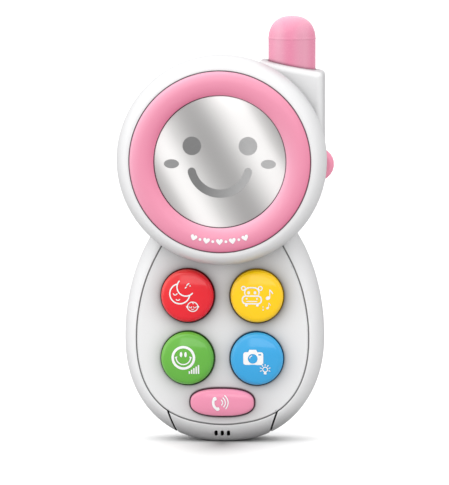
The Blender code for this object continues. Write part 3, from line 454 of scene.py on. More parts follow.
def front_hole(outline, surface, lip):
    """Cutter for a hole in the front with a rounded lip. outline(grow) gives (x, z) points."""
    rows = [(0.0, -8.0)]
    for inward, outward in quarter(range(0, 91, 18)):
        rows.append((lip * inward, surface + lip * (1 - outward)))
    rows.append((lip + 0.03, surface - 2.5))
    return loft([ring(outline(grow), y) for grow, y in rows])


def oval(half_x, half_z, power=2.0, count=96):
    """(x, z) points of a superellipse round the origin."""
    t = 2 * math.pi * np.arange(count) / count
    c, s = np.cos(t), np.sin(t)
    x = half_x * np.sign(c) * np.abs(c) ** (2 / power)
    return np.c_[x, half_z * np.sign(s) * np.abs(s) ** (2 / power)]


def call_outline(grow=0.0, scale=1.0):
    half_x, half_z = CALL_HALF_X * scale + grow, CALL_HALF_Z * scale + grow
    return oval(half_x, half_z, CALL_POWER) + (0, CALL_Z)


def rounded_rect(x0, x1, z0, z1, r, steps=8):
    points = []
    corners = ((x1 - r, z1 - r, 0), (x0 + r, z1 - r, 90), (x0 + r, z0 + r, 180), (x1 - r, z0 + r, 270))
    for x, z, first in corners:
        for a in np.radians(np.linspace(first, first + 90, steps)):
            points.append((x + r * math.cos(a), z + r * math.sin(a)))
    return points


# ---------------------------------------------------------------- shader helpers
class Graph:
    """A node tree, with short ways to add nodes. Inputs are values or sockets to link."""

    def __init__(self, tree):
        self.tree = tree

    def feed(self, node, inputs):
        for key, value in inputs.items():
            if isinstance(value, bpy.types.NodeSocket):
                self.tree.links.new(value, node.inputs[key])
            else:
                node.inputs[key].default_value = value

    def add(self, kind, inputs=None, **settings):
        """Adds a node and gives its outputs."""
        node = self.tree.nodes.new("ShaderNode" + kind)
        for key, value in settings.items():
            setattr(node, key, value)
        self.feed(node, inputs or {})
        return node.outputs

    def surface(self, **inputs):
        """Feeds the Principled shader. Underscores stand for the spaces in input names."""
        shader = self.tree.nodes["Principled BSDF"]
        self.feed(shader, {key.replace("_", " "): value for key, value in inputs.items()})

    def math(self, how, *values):
        return self.add("Math", dict(enumerate(values)), operation=how)["Value"]

    def vector(self, how, *values):
        return self.add("VectorMath", dict(enumerate(values)), operation=how)

    def clamp(self, value):
        return self.math("MINIMUM", self.math("MAXIMUM", value, 0.0), 1.0)

    def length(self, across, along):
        square = self.math("MULTIPLY", along, along)
        return self.math("SQRT", self.math("MULTIPLY_ADD", across, across, square))

    def scale(self, colour, factor):
        return self.add("VectorMath", {0: colour, "Scale": factor}, operation="SCALE")["Vector"]

    def span(self, value, start=(0.0, 1.0), to=(0.0, 1.0)):
        """Maps the range start to the range to."""
        ends = {"From Min": start[0], "From Max": start[1], "To Min": to[0], "To Max": to[1]}
        return self.add("MapRange", {"Value": value, **ends})["Result"]

    def mix(self, under, over, share):
        inputs = {"A": under, "B": (*over, 1), "Factor": share}
        return self.add("Mix", inputs, data_type="RGBA")["Result"]

    def noise(self, place, scale, detail=2):
        inputs = {"Vector": place, "Scale": scale, "Detail": detail}
        return self.add("TexNoise", inputs)["Fac"]

    def split(self, vector):
        return self.add("SeparateXYZ", {"Vector": vector})

    def ramp(self, share, stops, interpolation="LINEAR"):
        """A colour ramp from (place, colour) stops."""
        node = self.tree.nodes.new("ShaderNodeValToRGB")
        node.color_ramp.interpolation = interpolation
        line = node.color_ramp.elements
        for element, (place, colour) in zip((line[0], line[1]), (stops[0], stops[-1])):
            element.position = place
            element.color = (*colour, 1)
        for place, colour in stops[1:-1]:
            line.new(place).color = (*colour, 1)
        self.feed(node, {"Fac": share})
        return node.outputs["Color"]

    def bump(self, height, strength, distance=0.00005):
        inputs = {"Height": height, "Strength": strength, "Distance": distance}
        self.surface(Normal=self.add("Bump", inputs)["Normal"])

    def openness(self, reach, power, amount):
        """How open the surface is within reach, as a factor from 1 - amount to 1."""
        open_share = self.add("AmbientOcclusion", {"Distance": reach}, samples=8)["AO"]
        return self.math(
            "MULTIPLY_ADD", self.math("POWER", open_share, power), amount, 1.0 - amount
        )


def new_material(name):
    made = bpy.data.materials.new(name)
    made.use_nodes = True
    return made, Graph(made.node_tree)


# ---------------------------------------------------------------- materials
SHADE_REACH = 2.6  # mm that the soft painted shade round a key runs
PAINTED_LIGHT_AXIS = (-0.64, 0.0, 0.77)  # towards the upper left, where the painted light comes from
PAINTED_LIGHT_GAIN = 1.3
# (x of the surface normal, brightness) of the painted reflection of upright studio panels in a round
# post
POST_PAINTED_REFLECTION = (
    (-1.0, 0.2), (-0.81, 0.45), (-0.62, 0.95), (-0.42, 0.95), (-0.2, 0.3), (0.02, 0.1),
    (0.2, 0.45), (0.4, 0.8), (0.7, 0.75), (0.86, 0.25), (1.0, 0.05),
)


def painted_post_reflection(g, colour, highlight_tint, normal):
    """Painted reflection: soft upright bands on a round post, and a painted highlight patch on its
    top.
    """
    turn = g.split(normal)
    stops = [((x + 1) / 2, [value] * 3) for x, value in POST_PAINTED_REFLECTION]
    bands = g.ramp(g.math("MULTIPLY_ADD", turn["X"], 0.5, 0.5), stops, "B_SPLINE")
    top_highlight = g.math("MULTIPLY", g.math("MAXIMUM", turn["Z"], 0.0), 0.9)
    return g.mix(colour, highlight_tint, g.math("MAXIMUM", bands, top_highlight))


def shade_near(g, colour, place, pieces):
    """Paints soft shade into the colour round each piece, given as (x, z, half x, half z, depth)."""
    at = g.split(place)
    kept = None
    for x, z, half_x, half_z, depth in pieces:
        across = g.math("DIVIDE", g.math("SUBTRACT", at["X"], x * MM), half_x * MM)
        along = g.math("DIVIDE", g.math("SUBTRACT", at["Z"], z * MM), half_z * MM)
        beyond = g.math("SUBTRACT", g.length(across, along), 1.0)
        far = g.math("MAXIMUM", g.math("MULTIPLY", beyond, half_z / SHADE_REACH), 0.0)
        fade = g.math("EXPONENT", g.math("MULTIPLY", far, -1.0))
        left = g.math("MULTIPLY_ADD", fade, -depth, 1.0)
        kept = left if kept is None else g.math("MULTIPLY", kept, left)
    return g.scale(colour, kept)


def hollow_share(g, open_share, hollow, position):
    """Adds shade painted into the colour in wide hollows, but lets the last millimetres above the
    floor keep their light."""
    wide = g.openness(reach=0.016, power=1.0, amount=hollow)
    open_share = g.math("MULTIPLY", open_share, wide)
    foot = g.span(g.split(position)["Z"], (0.0005, 0.003))
    return g.math("MULTIPLY_ADD", g.math("SUBTRACT", open_share, 0.8), foot, 0.8)


def plastic(
    name, rgb, rough=0.28, spread=0.06, grain=0.03, grain_scale=900.0, mottle=0.02, coat=0.0,
    gloss=0.5, crevice=0.96, hollow=0.0, edge=None, painted_light_tints=None, bands=None, near=(), glow=0.0,
):
    """Moulded plastic: fine grain, slow waves, colour drift and rubbed edges, with light and shade
    painted into its colour.

    edge is (colour, blend) of a tint painted where the surface turns away from the eye: painted shade
    on the white shell and the red and yellow keys, a painted sheen on the plain pink parts.
    painted_light_tints is the colour painted where the surface leans to the upper left, towards the
    light, and the one painted where it leans away. bands is the pale colour of the painted reflection
    and top highlight of painted_post_reflection, near the pieces that shade_near paints soft shade
    round, and glow the strength of a painted glow that the plastic gives off though it is no lamp.
    crevice and hollow are the depths of the shade painted into the colour in narrow gaps and in wide
    hollows.
    """
    made, g = new_material(name)
    place = g.add("TexCoord")["Object"]
    geometry = g.add("NewGeometry")
    fine = g.noise(place, grain_scale, detail=3)
    slow = g.noise(place, scale=38.0)
    colour = g.scale(rgb, g.span(slow, (0.3, 0.7), (1.0 - mottle, 1.0 + mottle)))
    rubbed = g.span(geometry["Pointiness"], (0.52, 0.64), (0.0, 0.03))
    colour = g.mix(colour, (1, 1, 1), rubbed)
    # painted tint where the surface turns away from the eye: shade where the tint is darker, sheen
    # where it is lighter
    if edge:
        painted_edge_share = g.add("LayerWeight", {"Blend": edge[1]})["Facing"]
        colour = g.mix(colour, edge[0], painted_edge_share)
    # painted light and shade: tints chosen by how far the surface leans towards the upper left
    if painted_light_tints:
        lean = g.vector("DOT_PRODUCT", geometry["Normal"], PAINTED_LIGHT_AXIS)["Value"]
        for tint, sign in zip(painted_light_tints, (PAINTED_LIGHT_GAIN, -PAINTED_LIGHT_GAIN)):
            colour = g.mix(colour, tint, g.clamp(g.math("MULTIPLY", lean, sign)))
    # painted reflection: pale upright bands of studio panels, and a painted highlight on the top
    if bands:
        colour = painted_post_reflection(g, colour, bands, geometry["Normal"])
    # painted glow: the plastic gives off light in its own colour, though it is no lamp
    if glow:
        g.surface(Emission_Color=colour, Emission_Strength=glow)
    # painted shade: a soft dark falloff round the pieces listed in near
    if near:
        colour = shade_near(g, colour, place, near)
    # painted shade: the ambient occlusion of narrow gaps, and of wide hollows, multiplied into the
    # colour
    if crevice:
        open_share = g.openness(reach=0.0012, power=1.2, amount=crevice)
        if hollow:
            open_share = hollow_share(g, open_share, hollow, geometry["Position"])
        colour = g.scale(colour, open_share)
    g.surface(
        Base_Color=colour,
        Roughness=g.span(fine, to=(rough - spread, rough + spread)),
        Specular_IOR_Level=gloss,
        Coat_Weight=coat,
        Coat_Roughness=0.05,
    )
    g.bump(g.math("MULTIPLY_ADD", slow, 6.0, fine), strength=grain * 3)
    return made


def steel(name, rgb=(0.66, 0.66, 0.68), rough=0.24):
    made, g = new_material(name)
    place = g.add("Mapping", {"Vector": g.add("TexCoord")["Object"], "Scale": (1, 1, 1)})["Vector"]
    noise = g.noise(place, scale=260.0, detail=4)
    g.surface(
        Base_Color=g.ramp(noise, ((0.3, [c * 0.72 for c in rgb]), (0.75, rgb))),
        Roughness=g.span(noise, to=(rough, rough + 0.2)),
        Metallic=1.0,
    )
    g.bump(noise, strength=0.15)
    return made


def circuit_board(name):
    made, g = new_material(name)
    bricks = g.add("TexBrick", {
        "Vector": g.add("TexCoord")["Object"],
        "Scale": 260.0,
        "Color1": (0.02, 0.18, 0.07, 1),
        "Color2": (0.03, 0.24, 0.10, 1),
        "Mortar": (0.05, 0.34, 0.15, 1),
        "Mortar Size": 0.03,
    })
    g.surface(Base_Color=bricks["Color"], Roughness=0.38)
    g.bump(bricks["Fac"], strength=0.3)
    return made


MIRROR_SPAN = 25.5  # mm from the mirror's middle to either end of its bands
# (mm from the mirror's middle across the painted reflection bands, brightness)
MIRROR_PAINTED_REFLECTION = (
    (-25, 0.40), (-21.5, 0.50), (-18.5, 0.84), (-14, 0.90), (-9.5, 0.60), (-3.5, 0.345),
    (2.5, 0.345), (7.5, 0.58), (12.5, 0.86), (18, 0.86), (21, 0.56), (25, 0.34),
)


def mirror_film():
    """Safety mirror: a metallic film with slanted soft bands of painted reflection for the room, which
    also give off a faint painted glow.
    """
    made, g = new_material("mirror_film")
    place = g.add("TexCoord")["Object"]
    from_middle = g.vector("SUBTRACT", place, (0.0, 0.0, DISC_Z * MM))["Vector"]
    across = g.vector("DOT_PRODUCT", from_middle, (0.86, 0.0, 0.5))["Value"]
    share = g.span(across, (-MIRROR_SPAN * MM, MIRROR_SPAN * MM))
    stops = [
        ((at + MIRROR_SPAN) / (2 * MIRROR_SPAN), (value, value * 0.985, value * 0.975))
        for at, value in MIRROR_PAINTED_REFLECTION
    ]
    colour = g.ramp(share, stops, "B_SPLINE")
    haze = g.noise(place, scale=120.0)
    g.surface(
        Base_Color=colour,
        Roughness=g.span(haze, to=(0.14, 0.24)),
        # painted glow: the bands of painted reflection also give off light
        Emission_Color=colour,
        Emission_Strength=0.22,
        Metallic=0.5,
        Specular_IOR_Level=0.3,
    )
    g.bump(haze, strength=0.05, distance=0.00002)
    return made


def print_ink(name, left, right, x0, x1, rough=0.3):
    """Slightly uneven ink whose grey value runs from left at x0 to right at x1."""
    made, g = new_material(name)
    place = g.add("TexCoord")["Object"]
    share = g.span(g.split(place)["X"], (x0 * MM, x1 * MM))
    colour = g.mix((left, left, left, 1), (right, right, right), share)
    noise = g.noise(place, scale=700.0)
    g.surface(
        Base_Color=g.scale(colour, g.span(noise, to=(0.94, 1.03))),
        Roughness=g.span(noise, to=(rough - 0.05, rough + 0.1)),
    )
    g.bump(noise, strength=0.1, distance=0.00002)
    return made


# painted shade: edge greys the white where the shell turns away from the eye, and hollow darkens its
# wide hollows
WHITE_SHELL = dict(
    rgb=(0.86, 0.86, 0.865), rough=0.36, mottle=0.006, gloss=0.4,
    edge=((0.46, 0.46, 0.47), 0.28), hollow=0.42,
)
SMOOTH = dict(grain=0.008, grain_scale=2200.0, spread=0.02, mottle=0.008)
PINK_BASE = dict(rough=0.30, gloss=0.35, **SMOOTH)
KEY_BASE = dict(coat=0.7, rough=0.24, **SMOOTH)
WIRE_BASE = dict(rough=0.42, mottle=0.04, crevice=0.0)
PLASTICS = {
    "white_abs": WHITE_SHELL,
    # pink_abs: edge paints a lighter sheen where the surface turns away from the eye
    "pink_abs": dict(rgb=(0.90, 0.30, 0.44), edge=((0.90, 0.36, 0.50), 0.2), **PINK_BASE),
    # pink ring: painted light, lighter pink where it leans to the upper left and deeper pink where it
    # leans away
    "pink_ring": dict(
        rgb=(0.86, 0.305, 0.44), painted_light_tints=((0.90, 0.48, 0.61), (0.84, 0.22, 0.37)), **PINK_BASE
    ),
    # pink_key: a faint painted glow
    "pink_key": dict(
        rgb=(0.85, 0.28, 0.43), coat=0.7, rough=0.26, gloss=0.3, glow=0.05, **SMOOTH
    ),
    # pink_silicone, the antenna: painted reflection bands and a painted highlight on its top
    "pink_silicone": dict(
        rgb=(0.79, 0.235, 0.38), rough=0.27, gloss=0.35, bands=(0.79, 0.365, 0.48), **SMOOTH
    ),
    # red keys: painted shade at the turned-away edges, painted light by slope and a painted glow
    "red_abs": dict(
        rgb=(0.82, 0.010, 0.022), gloss=0.14, edge=((0.78, 0.0, 0.02), 0.3), glow=0.06,
        painted_light_tints=((0.82, 0.05, 0.045), (0.80, 0.0, 0.02)), **KEY_BASE,
    ),
    # yellow key: painted shade at the turned-away edges and a painted glow
    "yellow_abs": dict(
        rgb=(0.97, 0.60, 0.0), gloss=0.12, edge=((0.86, 0.50, 0.0), 0.3), glow=0.12, **KEY_BASE
    ),
    # green key: painted light by slope and a painted glow
    "green_abs": dict(
        rgb=(0.12, 0.43, 0.045), gloss=0.18, glow=0.10,
        painted_light_tints=((0.15, 0.46, 0.05), (0.11, 0.44, 0.045)), **KEY_BASE,
    ),
    # blue key: painted light by slope and a painted glow
    "blue_abs": dict(
        rgb=(0.03, 0.36, 0.72), gloss=0.18, glow=0.10,
        painted_light_tints=((0.04, 0.38, 0.72), (0.035, 0.38, 0.74)), **KEY_BASE,
    ),
    "grey_silicone": dict(
        rgb=(0.42, 0.43, 0.44), rough=0.62, grain=0.08, mottle=0.04, crevice=0.0
    ),
    "black_epoxy": dict(rgb=(0.012, 0.012, 0.012), rough=0.22, mottle=0.05, crevice=0.0),
    "switch_black": dict(
        rgb=(0.02, 0.02, 0.022), rough=0.42, grain=0.06, mottle=0.05, crevice=0.0
    ),
    "speaker_paper": dict(
        rgb=(0.03, 0.03, 0.032), rough=0.9, grain=0.25, grain_scale=2500.0, mottle=0.15,
        crevice=0.0,
    ),
    "cell_jacket": dict(
        rgb=(0.03, 0.05, 0.08), rough=0.30, mottle=0.05, coat=0.2, crevice=0.0
    ),
    "lamp_epoxy": dict(rgb=(0.90, 0.90, 0.84), rough=0.08, coat=0.4, crevice=0.0),
    "wire_red": dict(rgb=(0.55, 0.02, 0.02), **WIRE_BASE),
    "wire_black": dict(rgb=(0.015, 0.015, 0.016), **WIRE_BASE),
    "wire_blue": dict(rgb=(0.02, 0.06, 0.42), **WIRE_BASE),
}
LOOK = {name: plastic(name, **settings) for name, settings in PLASTICS.items()}
LOOK["zinc_steel"] = LOOK["mirror_film"] = steel("zinc_steel")
LOOK["board_green"] = circuit_board("board")
INK = print_ink("white_ink", 0.95, 0.95, x0=-40, x1=40, rough=0.35)

SLOT = {row["node"]: row["material_slot"] for row in frame["record"]["subparts"]}
for node, obj in frame["nodes"].items():
    obj.data.materials.clear()
    obj.data.materials.append(LOOK[SLOT[node]])


def dress(obj, body, slot, *nodes, look=None):
    """Gives a piece its material and body, and hides the CAD nodes it stands for."""
    obj.data.materials.clear()
    obj.data.materials.append(look or LOOK[slot])
    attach(obj, body)
    if nodes:
        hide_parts(*nodes)


# ---------------------------------------------------------------- front case half and grips
# depths of the soft shade painted round each key and round the call key
KEY_SHADE = {"red": 0.64, "yellow": 0.64, "green": 0.38, "blue": 0.38}
CALL_SHADE = 0.26


def antenna_hole():
    r = ANTENNA_R + 0.25
    profile = [(0, 130.0), (r, 130.0), (r, 155.0), (0, 155.0)]
    return turned(profile, (ANTENNA_X, ANTENNA_Y, 0), axis="Z")


def wheel_slot(y):
    return block((30.0, 42.0), y, (WHEEL[2] - 6.7, WHEEL[2] + 6.7))


def groove_lips(depth, z):
    return keep(flared_band(depth), block(WIDE, (-30, 5), z))


def leaning_slot(x):
    """A small upright oblong through the foot, leaning a little."""
    plan = []
    for a in np.linspace(0.1, 0.1 + 2 * math.pi, 25)[:-1]:
        s = math.sin(a)
        plan_z = 3.4 + math.copysign(0.45, s) + 0.62 * s
        plan.append((x - 0.12 + 0.66 * math.cos(a) + 0.12 * s, plan_z))
    return prism(plan, -14.0, -2.2)


def make_front():
    # the painted shade of the keys falls a little to the lower right
    shades = [
        (KEY_AT[key][0] + 0.3, KEY_AT[key][2] - 0.3, KEY_R, KEY_R, depth)
        for key, depth in KEY_SHADE.items()
    ]
    shades.append((0.2, CALL_Z - 0.2, CALL_HALF_X, CALL_HALF_Z, CALL_SHADE))
    panel = plastic("white_panel", near=shades, **WHITE_SHELL)

    front = front_blank("front_case")
    for side in (-1, 1):
        cut(front, grip_region(side, edge=GROOVE / 2, slack=0.7))
    # a ledge closes the groove just under its rounded lips
    ledge = square_band(inner=0.6, outer=-0.75, top=0.55, bottom=1.3)
    join(front, keep(ledge, block(WIDE, (-30, 5), (13.0, 80.0))))
    cut(front, groove_lips(0.56, z=(-10, 83.0)))
    # a wall behind the groove, inside the shell
    edge, inner = inset(RIM + GROOVE / 2), inset(RIM + 1.9)
    corners = ((edge, -10.8), (inner, -10.8), (inner, -0.3), (edge, -0.3))
    skirt = loft([ring(flat, y) for flat, y in corners], closed=True)
    join(front, keep(skirt, block(WIDE, (-14.0, -0.45), (3.2, 76.0))))

    for key in KEYS:
        x, _, z = KEY_AT[key]
        hole = lambda grow: oval(KEY_HOLE_R + grow, KEY_HOLE_R + grow) + (x, z)
        cut(front, front_hole(round_outline(x, z), float(crown(x)) - 0.05, lip=0.36))
    call_hole = lambda grow: call_outline(CALL_HOLE_GAP + grow)
    cut(front, front_hole(call_hole, float(crown(0)) + 0.08, lip=0.4))
    cut(front, antenna_hole())
    cut(front, wheel_slot((-3.0, 2.0)))
    for x in (-2.35, 0.0, 2.35):
        cut(front, leaning_slot(x))
    cut(front, block(WIDE, (-25, 5), (-5, 0)))
    # a stepped block on either side of the middle, facing the disc
    for x in (-13.2, 13.2):
        join(front, block((x - 4.6, x + 4.6), (-16.9, -12.0), (78.5, 89.5)))
        join(front, block((x - 3.0, x + 3.0), (-19.0, -16.5), (80.0, 88.0)))
    weighted(front)
    dress(front, "case", "white_abs", "front_shell", look=panel)


def round_outline(x, z, count=96):
    """A key hole's outline, as a function of how far it is grown."""
    a = np.arange(count) * 2 * math.pi / count
    return lambda grow: np.c_[
        x + (KEY_HOLE_R + grow) * np.cos(a), z + (KEY_HOLE_R + grow) * np.sin(a)
    ]


def make_grip(side, label):
    grip = keep(front_blank(f"{label}_grip_skin"), grip_region(side, -GROOVE / 2, slack=0.0))
    # rebated over the front's ledge
    rebate = square_band(inner=0.6, outer=-0.9, top=0.4, bottom=1.45)
    cut(grip, keep(rebate, block(WIDE, (-30, 5), (12.5, 80.5))))
    cut(grip, groove_lips(1.1, z=(9.0, 83.0)))
    weighted(grip)
    dress(grip, "case", "white_abs", f"{label}_side_grip")


make_front()
make_grip(-1, "left")
make_grip(1, "right")


# ---------------------------------------------------------------- keys
def key_height(r):
    """y of a round key's face at radius r."""
    return KEY_TOP + 1.05 * (np.asarray(r, float) / 9.0) ** 2.2


def key_profile():
    face = [(float(r), float(key_height(r))) for r in np.linspace(0.6, 8.6, 16)]
    edge = KEY_TOP + 1.5
    skirt = [  # (radius, y, rounding)
        (*face[-1], 0), (9.35, edge - 0.12, 0.9), (9.95, edge + 0.9, 0.5),
        (9.95, -10.15, 0.1), (11.05, -10.15, 0.1), (11.05, -9.15, 0.1), (8.4, -9.15, 0.1),
        (8.4, -13.4, 0.3), (3.0, -14.2, 0.1), (3.0, -8.95, 0.2), (0.0, -8.95, 0),
    ]
    return [(0.0, KEY_TOP)] + face[:-1] + rounded(skirt, 6)


for key in KEYS:
    x, _, z = KEY_AT[key]
    cap = turned(key_profile(), (x, 0, z), f"{key}_key_cap", 128)
    dress(cap, f"{key}_key", f"{key}_abs", f"{key}_button")


def call_height(x, z):
    """y of the call key's face at (x, z) from its centre."""
    across, along = np.abs(x / CALL_HALF_X), np.abs(z / CALL_HALF_Z)
    t = np.clip((across**CALL_POWER + along**CALL_POWER) ** (1 / CALL_POWER), 0, 1)
    return CALL_TOP + CALL_DISH * t**3.0


def make_call_key():
    rows = []
    for t in (0.08, 0.2, 0.35, 0.5, 0.62, 0.72, 0.8, 0.87, 0.92):
        rows.append(ring(call_outline(scale=t), CALL_TOP + CALL_DISH * t**3.0))
    # (growth, y under the top) round the edge, then (growth, y) down the flange and inside
    edge = ((-0.28, 1.0), (-0.1, 1.3), (-0.02, 1.65), (0.0, 2.0))
    skirt = (
        (0.0, -10.1), (1.0, -10.1), (1.0, -9.1), (-1.5, -9.1), (-1.5, -13.2), (-2.9, -13.3),
        (-2.9, -8.9),
    )
    for grow, y in [(grow, CALL_TOP + under) for grow, under in edge] + list(skirt):
        rows.append(ring(call_outline(grow), y))
    cap = loft(rows, "call_key_cap")
    dress(cap, "call_key", "pink_abs", "call_button", look=LOOK["pink_key"])


make_call_key()

# ---------------------------------------------------------------- disc
bezel_low, bezel_high = box_mm("bezel_ring")
BEZEL_OUT, BEZEL_IN, BEZEL_CREST_R = float((bezel_high[0] - bezel_low[0]) / 2) + 0.12, 25.1, 30.1
BEZEL_CREST_Y = float(bezel_low[1])
MIRROR_R = 24.85
MIRROR_Y = float(box_mm("mirror")[0][1])
DISC_CENTRE = (0, 0, DISC_Z)


def make_housing():
    low, high = box_mm("disc_housing")
    disc_r = float((high[0] - low[0]) / 2)
    shoulder_r, side_y, depth = 34.85, -15.6, 10.5
    outer = [
        (shoulder_r + (disc_r - shoulder_r) * math.cos(a), side_y - depth * math.sin(a) ** 0.96)
        for a in np.radians(np.arange(0, 91, 5))
    ]
    foot = [(36.9, -13.7, 0), (38.9, -13.7, 0.6), (39.7, -14.5, 0.8), (*outer[0], 0)]
    lip = [(*outer[-1], 0), (34.47, -26.1, 0.3), (34.3, -25.55, 0)]
    profile = [(0, -22.3), (36.9, -22.3), (36.9, -13.7)] + rounded(foot)[1:] + outer[1:-1]
    profile += rounded(lip) + [(34.3, -23.4), (0, -23.4)]
    housing = turned(profile, DISC_CENTRE, "disc_case", 192)
    # two wide notches in the lower half of its back
    for x in ((-24.4, -2.9), (2.9, 24.4)):
        cut(housing, block(x, (-17.2, -12.0), (DISC_Z - 45, DISC_Z)))
    dress(housing, "cover", "white_abs", "disc_housing")


def arched(share, fullness):
    """0 at the crest of an arch to 1 at its foot; fullness 1 ends it upright."""
    fall = 1 - np.sqrt(1 - (fullness * share) ** 2)
    return fall / (1 - math.sqrt(1 - fullness**2))


def bezel_height(r):
    """y of the ring's face at radius r: it falls further towards the mirror."""
    r = np.asarray(r, float)
    out = np.clip((r - BEZEL_CREST_R) / (BEZEL_OUT - BEZEL_CREST_R), 0, 1)
    inn = np.clip((BEZEL_CREST_R - r) / (BEZEL_CREST_R - BEZEL_IN), 0, 1)
    fall = np.where(r > BEZEL_CREST_R, 1.55 * arched(out, 0.97), 1.9 * arched(inn, 0.93))
    return BEZEL_CREST_Y + fall


def make_bezel():
    face = [(float(r), float(bezel_height(r))) for r in np.linspace(BEZEL_OUT, BEZEL_IN, 41)]
    profile = [(BEZEL_IN, -23.7), (BEZEL_OUT, -23.7)] + face
    bezel = turned(profile, DISC_CENTRE, "bezel_skin", 192, closed=True)
    dress(bezel, "cover", "pink_abs", "bezel_ring", look=LOOK["pink_ring"])


def make_mirror():
    edge = [(MIRROR_R, -23.65, 0), (MIRROR_R, MIRROR_Y, 0.3), (0, MIRROR_Y, 0)]
    profile = [(0, -23.65)] + rounded(edge)[:-1] + [(12, MIRROR_Y), (0, MIRROR_Y)]
    mirror = turned(profile, DISC_CENTRE, "mirror_disc", 192)
    dress(mirror, "cover", "mirror_film", "mirror", look=mirror_film())


make_housing()
make_bezel()
make_mirror()


# ---------------------------------------------------------------- antenna and wheel
def make_antenna():
    r, seam = ANTENNA_R, 152.9
    tip = float(box_mm("antenna")[1][2])
    bead = 0.09
    profile = [  # (radius, z)
        (6.4, 132.3), (10.0, 132.3), (10.0, 135.1), (r, 135.1), (r, 140.0), (r, 148.0),
        (r, seam - 0.9), (r, seam - 0.4), (r, seam - 0.26), (r + bead, seam - 0.12),
        (r + bead, seam + 0.12), (r, seam + 0.26),
    ]
    for a in np.radians(np.arange(6, 90, 6)):
        profile.append((r * math.cos(a) ** 0.8, seam + (tip - seam) * math.sin(a)))
    profile += [(0, tip), (0, tip - 3.1)]
    for a in np.radians([75, 60, 45, 30, 15, 0]):
        profile.append((6.4 * math.cos(a), 151.5 + 6.6 * math.sin(a)))
    centre = (ANTENNA_X, ANTENNA_Y, 0)
    antenna = turned(profile, centre, "antenna_skin", 128, "Z", closed=True)
    dress(antenna, "case", "pink_silicone", "antenna")


def make_wheel():
    half, bore, chamfer, flutes, flute_depth = 2.5, 1.06, 1.5, 24, 0.06
    profile = rounded([  # (radius, y, rounding)
        (bore, -half, 0), (5.0, -half, 0.8), (6.4, -half + chamfer, 0.7),
        (6.4, half - chamfer, 0.7), (5.0, half, 0.8), (bore, half, 0),
    ])
    wheel = turned(profile, tuple(WHEEL), "wheel_skin", 144, closed=True)
    bm = bmesh.new()
    bm.from_mesh(wheel.data)
    # shallow finger flutes round the edge
    for vertex in bm.verts:
        x, z = vertex.co.x / MM - WHEEL[0], vertex.co.z / MM - WHEEL[2]
        r = math.hypot(x, z)
        if r > 5.4:
            wave = flute_depth * (0.5 + 0.5 * math.cos(flutes * math.atan2(z, x)))
            shrink = 1 - wave * min(1.0, (r - 5.4) / 0.6) / r
            vertex.co.x = (WHEEL[0] + x * shrink) * MM
            vertex.co.z = (WHEEL[2] + z * shrink) * MM
    bm.to_mesh(wheel.data)
    bm.free()
    dress(wheel, "wheel", "pink_abs", "side_wheel")


make_antenna()
make_wheel()

# ---------------------------------------------------------------- rear case half and door
CASE_SCREWS = [tuple(middle(f"case_screw_{i}")[[0, 2]]) for i in range(1, 7)]
DOOR_SCREWS = [float(middle(f"door_screw_{i}")[2]) for i in (1, 2)]
DOOR_GAP = 0.3
door_low, door_high = box_mm("battery_door")
DOOR_HALF = (door_high[0] - door_low[0]) / 2 + DOOR_GAP
DOOR_Z0, DOOR_Z1 = door_low[2] - DOOR_GAP, door_high[2] + DOOR_GAP
SPEAKER_Z = middle("speaker_frame")[2]
BACK_LIP = (22, 45, 68, 90)  # degrees along a rounded lip


def rod(x, z, r, y0, y1, steps=32, lip=0.0):
    """A round bar along y. With a lip it flares out towards y1 and runs on past it."""
    profile = [(0, y0), (r, y0), (r, y1 - lip)]
    if lip:
        for inward, outward in quarter(BACK_LIP):
            profile.append((r + lip * inward, y1 - lip + lip * outward))
        profile += [(r + lip + 0.02, y1 + 3), (0, y1 + 3)]
    else:
        profile.append((0, y1))
    return turned(profile, (x, 0, z), steps=steps)


def back_hole(x0, x1, z0, z1, radius, deep, lip=0.25):
    """Cutter for a rounded rectangle in the flat back, with a rounded lip."""
    rows = [(0.0, deep), (0.0, BACK_Y - lip)]
    for inward, outward in quarter(BACK_LIP):
        rows.append((lip * inward, BACK_Y - lip + lip * outward))
    rows.append((lip + 0.03, BACK_Y + 2.5))
    return loft([
        ring(rounded_rect(x0 - grow, x1 + grow, z0 - grow, z1 + grow, radius + grow), y)
        for grow, y in rows
    ])


def rear_blank():
    rings = []
    for inward, outward in quarter((90, 60, 30, 0)):
        flat = inset(WALL + (BACK_ROUND - 0.8) * inward)
        rings.append(ring(flat, BACK_ROUND_Y + (BACK_IN_Y - BACK_ROUND_Y) * outward))
    rings += outer_edge(PART_GAP, 1)
    for inward, outward in quarter(range(0, 91, 6)):
        flat = inset(BACK_ROUND * inward)
        rings.append(ring(flat, BACK_ROUND_Y + (BACK_Y - BACK_ROUND_Y) * outward))
    return loft(rings, "rear_case")


